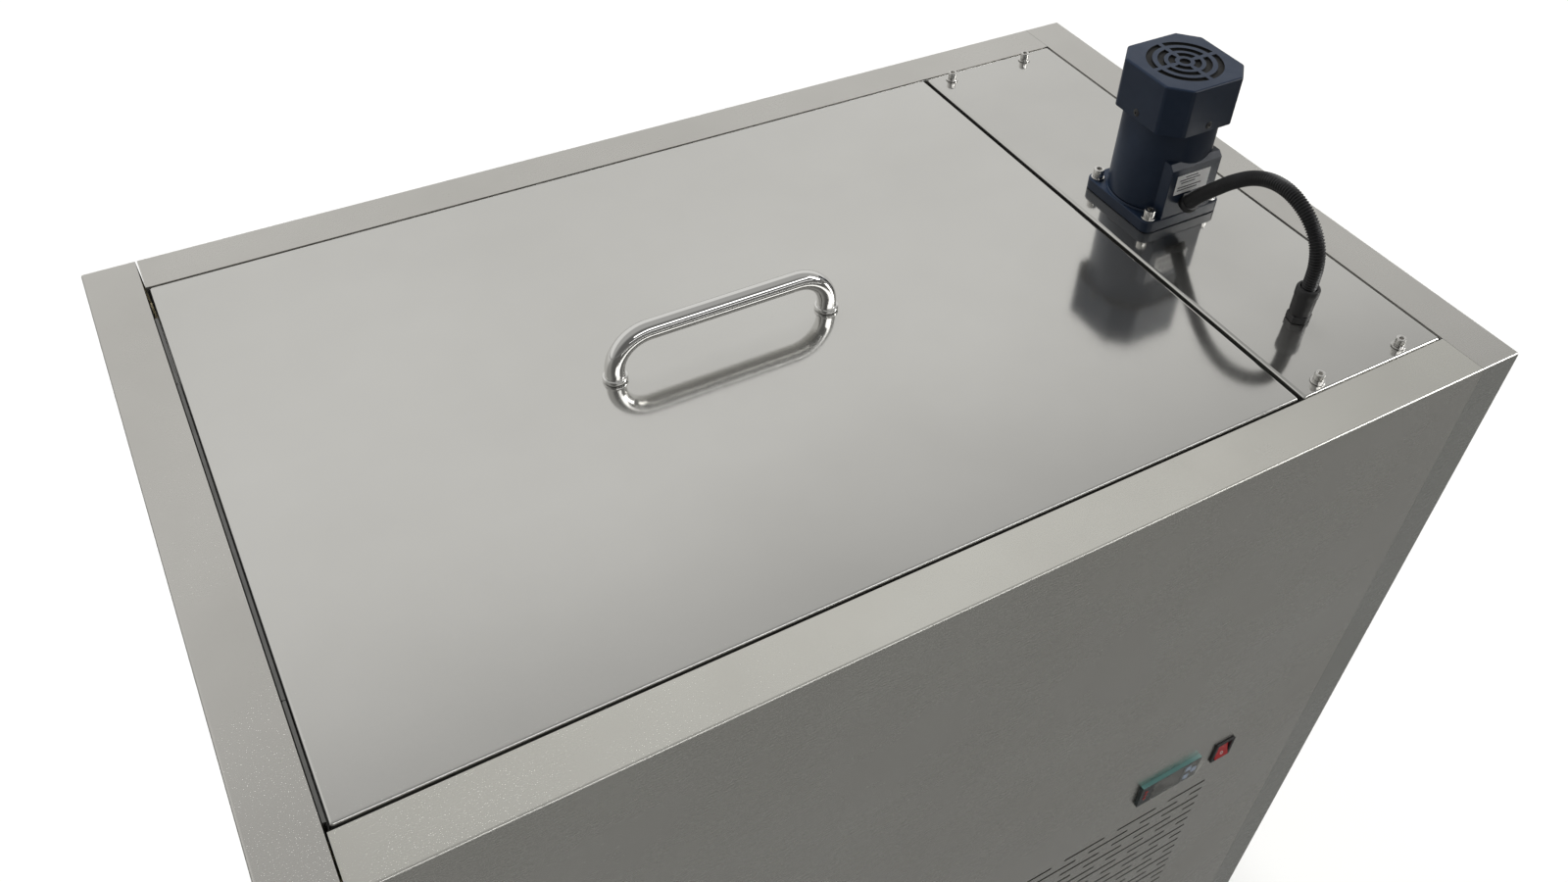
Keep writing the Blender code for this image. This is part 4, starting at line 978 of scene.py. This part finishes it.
def make_motor():
    low, high = local("motor_flange")
    base = 0.0112
    flange = block((low.x, low.y, PROUD), (high.x, high.y, base), 0.008, segments=8)
    piece("flange_plate", flange, "navy", replaces=("motor_flange",), edge=0.0008)
    # Low round plinth under the housing, with the fillet that casting leaves.
    plinth = [
        (0.01, 0.0108), (0.0425, 0.0108), (0.0431, 0.0114), (0.0427, 0.0122), (0.042, 0.0128),
        (0.01, 0.0128),
    ]
    piece("flange_plinth", turned(plinth, MOTOR_AXIS, steps=72), "navy")
    spigot = [(0.01, -0.01), (0.0295, -0.01), (0.03, -0.0095), (0.03, 0.0002), (0.01, 0.0002)]
    piece("flange_spigot", turned(spigot, MOTOR_AXIS), "navy")
    housing = [
        (0.009, 0.0133), (0.0412, 0.0133), (0.042, 0.0141), (0.042, 0.0938), (0.0414, 0.0946),
        (0.0065, 0.0946), (0.0065, 0.086), (0.033, 0.086), (0.033, 0.0225), (0.009, 0.0225),
    ]
    piece("housing_shell", turned(housing, MOTOR_AXIS, steps=96), "navy", replaces=("motor_housing",))
    radii = (0.005, 0.0027, 0.0062, 0.005)
    for number in range(1, 5):
        name = f"motor_bolt_{number}"
        make_screw(name, base + 0.0027, 0.001, radii, base + 0.0001, base + 0.0013, 0.9 * number)


def octagon(half, chamfer):
    x, y = MOTOR
    near = half - chamfer
    corners = (
        (half, -near), (half, near), (near, half), (-near, half),
        (-half, near), (-half, -near), (-near, -half), (near, -half),
    )
    return [(x + dx, y + dy) for dx, dy in corners]


def ring_sector(inner, outer, start, end, low, high):
    outline = arc(MOTOR, outer, start, end, 12) + arc(MOTOR, inner, end, start, 12)
    return prism(outline, low, high)


def make_fan_cover():
    """The cowl: a chamfered square cup with rounded edges and a round grille of three rings."""
    low, high = local("motor_fan_cover")
    half, chamfer, wall = 0.04375, 0.017, 0.002
    screw_z = 0.101
    cover = prism(octagon(half, chamfer), low.z, high.z)
    upper = [edge for edge in cover.edges if all(v.co.z > high.z - 1e-6 for v in edge.verts)]
    uprights = [edge for edge in cover.edges if abs(edge.verts[0].co.z - edge.verts[1].co.z) > 0.01]
    rounded(cover, upper + uprights, 0.0022, 4)
    obj = piece("cowl", cover, "navy", replaces=("motor_fan_cover",))
    slots = [prism(octagon(half - wall, chamfer - 0.6 * wall), low.z - 0.01, high.z - wall)]
    z0, z1 = high.z - 0.01, high.z + 0.01
    turns = [i * math.pi / 2 for i in range(4)]
    for inner, outer in ((0.0086, 0.0144), (0.018, 0.0236), (0.028, 0.0335)):
        gap = math.asin(0.0021 / ((inner + outer) / 2))
        for turn in turns:
            slots.append(ring_sector(inner, outer, turn + gap, turn + math.pi / 2 - gap, z0, z1))
    slots.append(rod(0.0048, z0, z1, MOTOR_AXIS, steps=32))
    sides = [Matrix.Translation(MOTOR_AXIS) @ Matrix.Rotation(turn, 4, "Z") for turn in turns]
    for side in sides:
        hole = rod(0.0026, half - 0.01, half + 0.01, (0, 0, screw_z), "X", 24)
        hole.transform(side)
        slots.append(hole)
    carve(obj, slots)
    # Faces inside the cup are made near-black: painted shade under the grille. The cup's own paint is navy
    # inside as well.
    obj.data.materials.append(MATS["black_and_shade"])
    for face in obj.data.polygons:
        dx, dy, z = face.center - CORNER - Vector(MOTOR_AXIS)
        square = max(abs(dx), abs(dy)) < half - wall / 2
        inside = square and abs(dx) + abs(dy) < 2 * half - chamfer - wall / 2
        face.material_index = int(inside and z < high.z - wall / 2)
    weigh_normals(obj)
    profile = [
        (0, -0.006), (0.0018, -0.006), (0.0018, -0.0019), (0.0036, -0.0017), (0.0034, 0.0002),
        (0.0022, 0.0009), (0.0008, 0.0009), (0.0006, -0.0002), (0, -0.0002),
    ]
    for number, side in enumerate(sides, 1):
        screw = turned(profile, (half, 0, screw_z), "X", 32)
        screw.transform(side)
        piece(f"cowl_screw_{number}", screw, "black")


def make_motor_fan():
    """A small radial fan with curved blades on a back plate, under the grille."""
    hub = [
        (0.0057, 0.1), (0.0105, 0.1), (0.011, 0.1005), (0.011, 0.1155), (0.01, 0.1165),
        (0.0057, 0.1165),
    ]
    disc = [(0.01, 0.1), (0.034, 0.1), (0.0345, 0.1008), (0.034, 0.1014), (0.01, 0.1018)]
    makers = [turned(hub, MOTOR_AXIS), turned(disc, MOTOR_AXIS)]
    x, y = MOTOR
    blades = 9
    for i in range(blades):
        outline = []
        for side, steps in ((0.0006, range(7)), (-0.0006, range(6, -1, -1))):
            for k in steps:
                radius = 0.0105 + 0.0225 * k / 6
                angle = 2 * math.pi * i / blades + 0.35 * (k / 6) ** 2 + side / radius
                outline.append((x + radius * math.cos(angle), y + radius * math.sin(angle)))
        makers.append(prism(outline, 0.1014, 0.1205))
    piece("fan_wheel", merged(*makers), "black_and_shade", "rotor", ("motor_fan",))


def make_terminal_box():
    """The wiring box: a pad on the housing's front with a chamfered top, and a blank label."""
    front, deep, base, top, chamfer = 0.27, 0.286, 0.0114, 0.066, 0.0045
    outline = [(front, base), (deep, base), (deep, top), (front + chamfer, top), (front, top - chamfer)]
    pad = prism(outline, 0.841, 0.898, "X")
    shell = piece("wiring_box", pad, "navy", replaces=("motor_terminal_box",), edge=0.0006)
    carve(shell, [rod(0.0423, 0, 0.1, MOTOR_AXIS, steps=72)])
    weigh_normals(shell)
    z0, z1, x0, x1 = 0.0347, 0.0543, 0.8488, 0.8872
    face = front - 0.00002
    label = block((x0, face - 0.00025, z0), (x1, face, z1), 0.0006, axis=1, segments=3)
    piece("rating_label", label, "label")
    rows = (
        (0.0515, 0.01, 0.024), (0.0487, 0.004, 0.027), (0.0459, 0.006, 0.022), (0.0415, 0.003, 0.03),
        (0.0387, 0.003, 0.026),
    )
    for number, (z, start, end) in enumerate(rows, 1):
        line = block((x0 + start, face - 0.00032, z - 0.0005), (x0 + end, face - 0.0002, z + 0.0005))
        piece(f"label_line_{number}", line, "print", edge=0.00004)


ENTRY = Vector((0.866, 0.27, 0.0195))
ENTRY_TURN = Matrix.Rotation(math.radians(37.4), 4, "X")


def make_conduit():
    """Corrugated conduit: a ring every 2.4 mm along its arch, between the gland and the box."""
    points = (
        (0.865, 0.1195, 0.0125), (0.865, 0.1195, 0.024), (0.865, 0.1194, 0.037),
        (0.8651, 0.1205, 0.054), (0.8652, 0.1257, 0.0695), (0.8653, 0.136, 0.082),
        (0.8654, 0.151, 0.0915), (0.8655, 0.169, 0.0963), (0.8656, 0.188, 0.0946),
        (0.8657, 0.207, 0.086), (0.8658, 0.2255, 0.071), (0.8659, 0.2412, 0.0545),
        (0.866, 0.254, 0.0402), (0.866, 0.26496, 0.02609),
    )
    pitch, crest, root = 0.0024, 0.0065, 0.0054
    route = evenly(smooth_route(points, 24), pitch / 6)
    profile = (crest, crest, (crest + root) / 2, root, root, (crest + root) / 2)
    tube = swept(route, [profile[i % 6] for i in range(len(route))], 28)
    piece("conduit_tube", tube, "conduit", replaces=("motor_conduit",))

    nut = prism(hexagon(0.0105, GLAND, 0.3), PROUD, 0.0068)
    piece("gland_nut", nut, "black", edge=0.0006)
    body = [
        (0.005, -0.012), (0.0075, -0.012), (0.0075, 0.0002), (0.0088, 0.007), (0.009, 0.0078),
        (0.0093, 0.01), (0.0096, 0.024), (0.01, 0.0252), (0.01, 0.0318), (0.0094, 0.0332),
        (0.008, 0.0338), (0.0072, 0.0335), (0.0072, 0.0122), (0.005, 0.0122),
    ]
    piece("gland_body", turned(body, (*GLAND, 0), steps=64), "black", replaces=("conduit_gland",))
    ring = [(0.0067, 0.0004), (0.0088, 0.0004), (0.0092, 0.001), (0.0092, 0.005)]
    collar = turned([*ring, (0.0084, 0.0068), (0.0067, 0.0068)])
    collar.transform(Matrix.Translation(ENTRY) @ ENTRY_TURN @ Matrix.Translation((0, 0, 0.0035)))
    piece("conduit_collar", collar, "black")


# ---------------------------------------------------------------- controls


def make_control(names, node, mat, low, high, corner, cutters, inset):
    """A control's flat front with its cut-outs, and the box behind it."""
    front_name, box_name = names
    bezel = piece(front_name, block(low, high, *corner), mat, replaces=(node,))
    carve(bezel, cutters)
    soften(bezel, 0.0003)
    weigh_normals(bezel)
    back = local(node)[1].y
    box_low = Vector((low[0] + inset, high[1], low[2] + inset))
    box_high = Vector((high[0] - inset, back, high[2] - inset))
    thicken(piece(box_name, folded(box_low, box_high, ("-y",), 0.001), "black"), 0.0014, 0.0)


def make_thermostat():
    x0, x1, z0, z1 = 0.7173, 0.7945, -0.4865, -0.452
    face = -0.004
    play = Vector((0.0003, 0, 0.0003))
    out, back = Vector((0, 0.01, 0)), Vector((0, 0.0005, 0))
    w_low, w_high = local("thermostat_window")
    cutters = [block(w_low - play - out, w_high + play + back, 0.001, axis=1)]
    keys = [local(f"thermostat_key_{number}") for number in range(1, 4)]
    cutters += [block(low - play - out, high + play + out, 0.0012, axis=1) for low, high in keys]
    names = ("controller_bezel", "controller_box")
    low, high = (x0, face, z0), (x1, -PROUD, z1)
    make_control(names, "thermostat_case", "case", low, high, (0.0015, 1, 4), cutters, 0.003)
    # A thin bright teal layer over the case's top face: painted light, a lit copy of the case's dark teal.
    lit_top_low = (x0 + 0.0006, face - 0.0001, z1 + 0.00005)
    lit_top_layer = block(lit_top_low, (x1 - 0.0006, -0.0001, z1 + 0.00045), 0.0001, axis=1)
    piece("controller_lit_top", lit_top_layer, "lit_top")
    window = block(w_low, w_high, 0.001, axis=1)
    piece("controller_window", window, "window", replaces=("thermostat_window",), edge=0.0003)
    for number, z in enumerate((-0.462, -0.468, -0.474), 1):
        led = block((0.7225, face - 0.0005, z - 0.0011), (0.7262, face + 0.0002, z + 0.0011), 0.0005, axis=1)
        piece(f"controller_lamp_{number}", led, "led", edge=0.0002)
    for number, (low, high) in enumerate(keys, 1):
        cap = block(low, high, 0.0011, axis=1)
        piece(f"key_cap_{number}", cap, "keys", f"key_{number}", (f"thermostat_key_{number}",), 0.0005)


def make_film():
    """The clear film that protects the thermostat's face. Its lower right corner has come loose."""
    low, high = local("thermostat_case")
    left, right = low.x + 0.016, high.x + 0.0078
    face = low.y - 0.0004
    columns, steps = 40, 8
    maker = bmesh.new()
    rows = []
    for i in range(columns + 1):
        x = left + (right - left) * i / columns
        loose = min(max((x - (high.x - 0.02)) / 0.0278, 0.0), 1.0)
        past = max((x - (high.x - 0.0008)) / 0.0086, 0.0)
        sag = 0.0042 * math.sin(min(loose * 1.3, 1.0) * math.pi / 2)
        bottom = low.z + 0.0005 - sag + 0.009 * loose ** 6
        top = high.z - 0.0006 - 0.015 * past ** 0.8
        y = face - 0.0006 * loose + 0.0022 * loose ** 3
        rows.append([maker.verts.new((x, y, bottom + (top - bottom) * k / steps)) for k in range(steps + 1)])
    for a, b in zip(rows, rows[1:]):
        for k in range(steps):
            maker.faces.new((a[k], b[k], b[k + 1], a[k + 1]))
    thicken(piece("controller_film", maker, "film"), 0.00012, 0.0)


def make_switch():
    low, high = local("switch_housing")
    hole_low = (low.x + 0.0036, -0.02, low.z + 0.0026)
    hole = block(hole_low, (high.x - 0.0036, 0.02, high.z - 0.0026), 0.0006, axis=1)
    names = ("switch_bezel", "switch_box")
    face_low, face_high = (low.x, -0.0025, low.z), (high.x, -PROUD, high.z)
    make_control(names, "switch_housing", "black", face_low, face_high, (0.0016, 1), [hole], 0.002)

    x0, x1 = low.x + 0.004, high.x - 0.004
    pivot_y, pivot_z = 0.003, (low.z + high.z) / 2
    half = (high.z - low.z) / 2 - 0.0038
    tilt = math.radians(-10)
    face, dish = -0.0035, 0.0017

    def lean(dy, dz):
        y = pivot_y + dy * math.cos(tilt) - dz * math.sin(tilt)
        return y, pivot_z + dy * math.sin(tilt) + dz * math.cos(tilt)

    def on_face(t, lift=0.0):
        return lean(face - dish * t * t - lift, half * t)

    outline = [on_face(i / 6 - 1) for i in range(13)]
    outline += [lean(0.001, half), lean(0.0046, 0.0), lean(0.001, -half)]
    cap = prism(outline, x0, x1, "X")
    piece("rocker_cap", cap, "red", "rocker", ("switch_rocker",), 0.0005, angle=30)
    middle = (x0 + x1) / 2
    start, end, lift, sunk, wide = 0.42, 0.72, 0.00005, -0.0004, 0.0003
    mark = [on_face(start, lift), on_face(end, lift), on_face(end, sunk), on_face(start, sunk)]
    piece("rocker_line", prism(mark, middle - wide, middle + wide, "X"), "mark", "rocker")
    ring = turned([(0.0013, -0.0003), (0.0019, -0.0003), (0.0019, 0.00022), (0.0013, 0.00022)], steps=32)
    slope = math.atan2(2 * dish * 0.5, half)
    turn = Matrix.Rotation(math.radians(90) + tilt - slope, 4, "X")
    ring.transform(Matrix.Translation((middle, *on_face(-0.5))) @ turn)
    piece("rocker_ring", ring, "mark", "rocker")


# ---------------------------------------------------------------- base, feet and outlet


def make_feet():
    thread, root, pitch = 0.008, 0.0072, 0.0013
    for name in ("foot_front_left", "foot_front_right", "foot_back_left", "foot_back_right"):
        low, high = local(name)
        top = high.z - low.z
        floor = (*upright(name), low.z)
        pad = [
            (0, 0), (0.0228, 0), (0.024, 0.001), (0.024, 0.0036), (0.0232, 0.005), (0.013, 0.0098),
            (0.011, 0.0112), (0.0084, 0.0122), (thread, 0.0128),
        ]
        z = 0.0128
        while z < 0.029:
            pad += [(thread, z), (root, z + 0.0006), (thread, z + 0.0012)]
            z += pitch
        pad += [(thread, 0.0295), (0, 0.0295)]
        piece(name + "_pad", turned(pad, floor, steps=56), "fitting", replaces=(name,))
        tube = [
            (0.0086, 0.03), (0.0182, 0.03), (0.019, 0.0308), (0.019, top - 0.0062), (0.0196, top - 0.0052),
            (0.0292, top - 0.005), (0.03, top - 0.0042), (0.03, top), (0.0086, top),
        ]
        piece(name + "_leg", turned(tube, floor, steps=64), "fitting")


def mirrored(profile):
    """A profile of (radius, height) pairs, then the same pairs back to front at minus the height."""
    return profile + [(radius, -height) for radius, height in reversed(profile)]


def make_outlet():
    low, high = local("outlet_pipe")
    x, drain_y, z = OUTLET
    route = filleted([(x, drain_y, high.z), (x, drain_y, z), (x, low.y, z)], 0.045, 14)
    pipe = piece("outlet_bend", swept(route, 0.019, 48, caps=False), "inner", replaces=("outlet_pipe",))
    thicken(pipe, 0.0025, 0.0002)

    v_low, v_high = local("valve_body")
    y = -0.047
    centre = (x, y, z)
    back, front = v_high.y - y, v_low.y - y
    bore, seat, ball = 0.0165, 0.021, 0.0205
    mouth = math.asin(bore / seat)
    shell = [(bore, back), (0.0222, back), (0.023, back - 0.0008)]
    shell += mirrored([(0.023, 0.0255), (0.024, 0.024), (0.0292, 0.0222), (0.03, 0.0212)])
    shell += [
        (0.023, front + 0.009), (0.0252, front + 0.0066), (0.026, front + 0.0056),
        (0.026, front + 0.001), (0.0252, front), (0.0222, front), (0.0214, front + 0.001),
        (0.0205, front + 0.001), (0.0197, front), (bore, front),
    ]
    shell += arc((0, 0), seat, mouth - math.pi / 2, math.pi / 2 - mouth, 16)
    body = piece("valve_shell", turned(shell, centre, "Y", 72), "fitting", replaces=("valve_body",))
    stem_hole = 0.0062
    carve(body, [rod(stem_hole, 0.01, 0.05, centre)])
    weigh_normals(body)
    neck = [(stem_hole, 0.0235), (0.011, 0.0235), (0.011, 0.0392), (0.0104, 0.04), (stem_hole, 0.04)]
    piece("valve_neck", turned(neck, centre), "fitting")

    sphere = [(0, -ball), *arc((0, 0), ball, -math.pi / 2, math.pi / 2, 24)[1:-1], (0, ball)]
    solid = turned(sphere, centre, steps=64)
    bored = piece("valve_ball", solid, "mirror", "outlet_lever", ("valve_lever",), slot="stainless_fittings")
    carve(bored, [rod(0.0125, -0.03, 0.03, centre, "X")])
    piece("valve_stem", rod(0.0055, 0.019, 0.0405, centre, steps=40), "fitting", "outlet_lever")
    arm_low, arm_high = z + 0.0412, z + 0.0445
    lever = block((x - 0.013, y - 0.01, arm_low), (x + 0.11, y + 0.01, arm_high), 0.008, segments=6)
    piece("valve_arm", lever, "fitting", "outlet_lever", edge=0.0006)
    nut = prism(hexagon(0.0062, (x, y), 0.2), arm_high, z + 0.0462)
    piece("valve_arm_nut", nut, "screw", "outlet_lever", edge=0.0003)


def make_power_gland():
    depth = local("back_panel")[1].y
    x, z = CORD
    reach = local("power_gland")[1].y - depth
    body = [
        (0.004, -0.012), (0.0063, -0.012), (0.0063, 0.0002), (0.0088, 0.005), (0.0094, 0.0066),
        (0.0094, 0.013), (0.0086, 0.0158), (0.0072, reach - 0.0004), (0.0066, reach), (0.004, reach),
    ]
    piece("power_gland_body", turned(body, (x, depth, z), "Y", 56), "black", replaces=("power_gland",))
    nut = prism(hexagon(0.0108, CORD), depth + PROUD, depth + 0.005, "Y")
    piece("power_gland_nut", nut, "black", edge=0.0006)


# ---------------------------------------------------------------- inside


def make_inside():
    for node, mat, edge in (
        ("base_tray", "inner", 0.0004), ("vat_insulation", "foam", 0.0008), ("gearhead", "gear_case", 0.001),
        ("motor_rotor", "shaft", 0.0005), ("compressor", "enamel", 0.001),
        ("condenser", "aluminium", 0.0003), ("fan_shroud", "black", 0.0004),
        ("condenser_fan_motor", "enamel", 0.0006), ("condenser_fan", "aluminium", 0.0003),
        ("stirrer_shaft", "inner", 0.0005), ("stirrer_paddle", "inner", 0.0004),
        ("cooling_coil", "copper", 0.0), ("filter_drier", "copper", 0.0006),
        ("discharge_pipe", "copper", 0.0), ("liquid_pipe", "copper", 0.0),
    ):
        keep(node, mat, edge)


make_camera()
make_studio()
make_side("left_side_panel", "+x")
make_side("right_side_panel", "-x")
make_front_and_back()
make_seam_painted_shade()
make_lid()
make_handle()
make_strip()
make_vat()
make_hinge()
make_strip_screws()
make_motor()
make_fan_cover()
make_motor_fan()
make_terminal_box()
make_conduit()
make_thermostat()
make_film()
make_switch()
make_feet()
make_outlet()
make_power_gland()
make_inside()
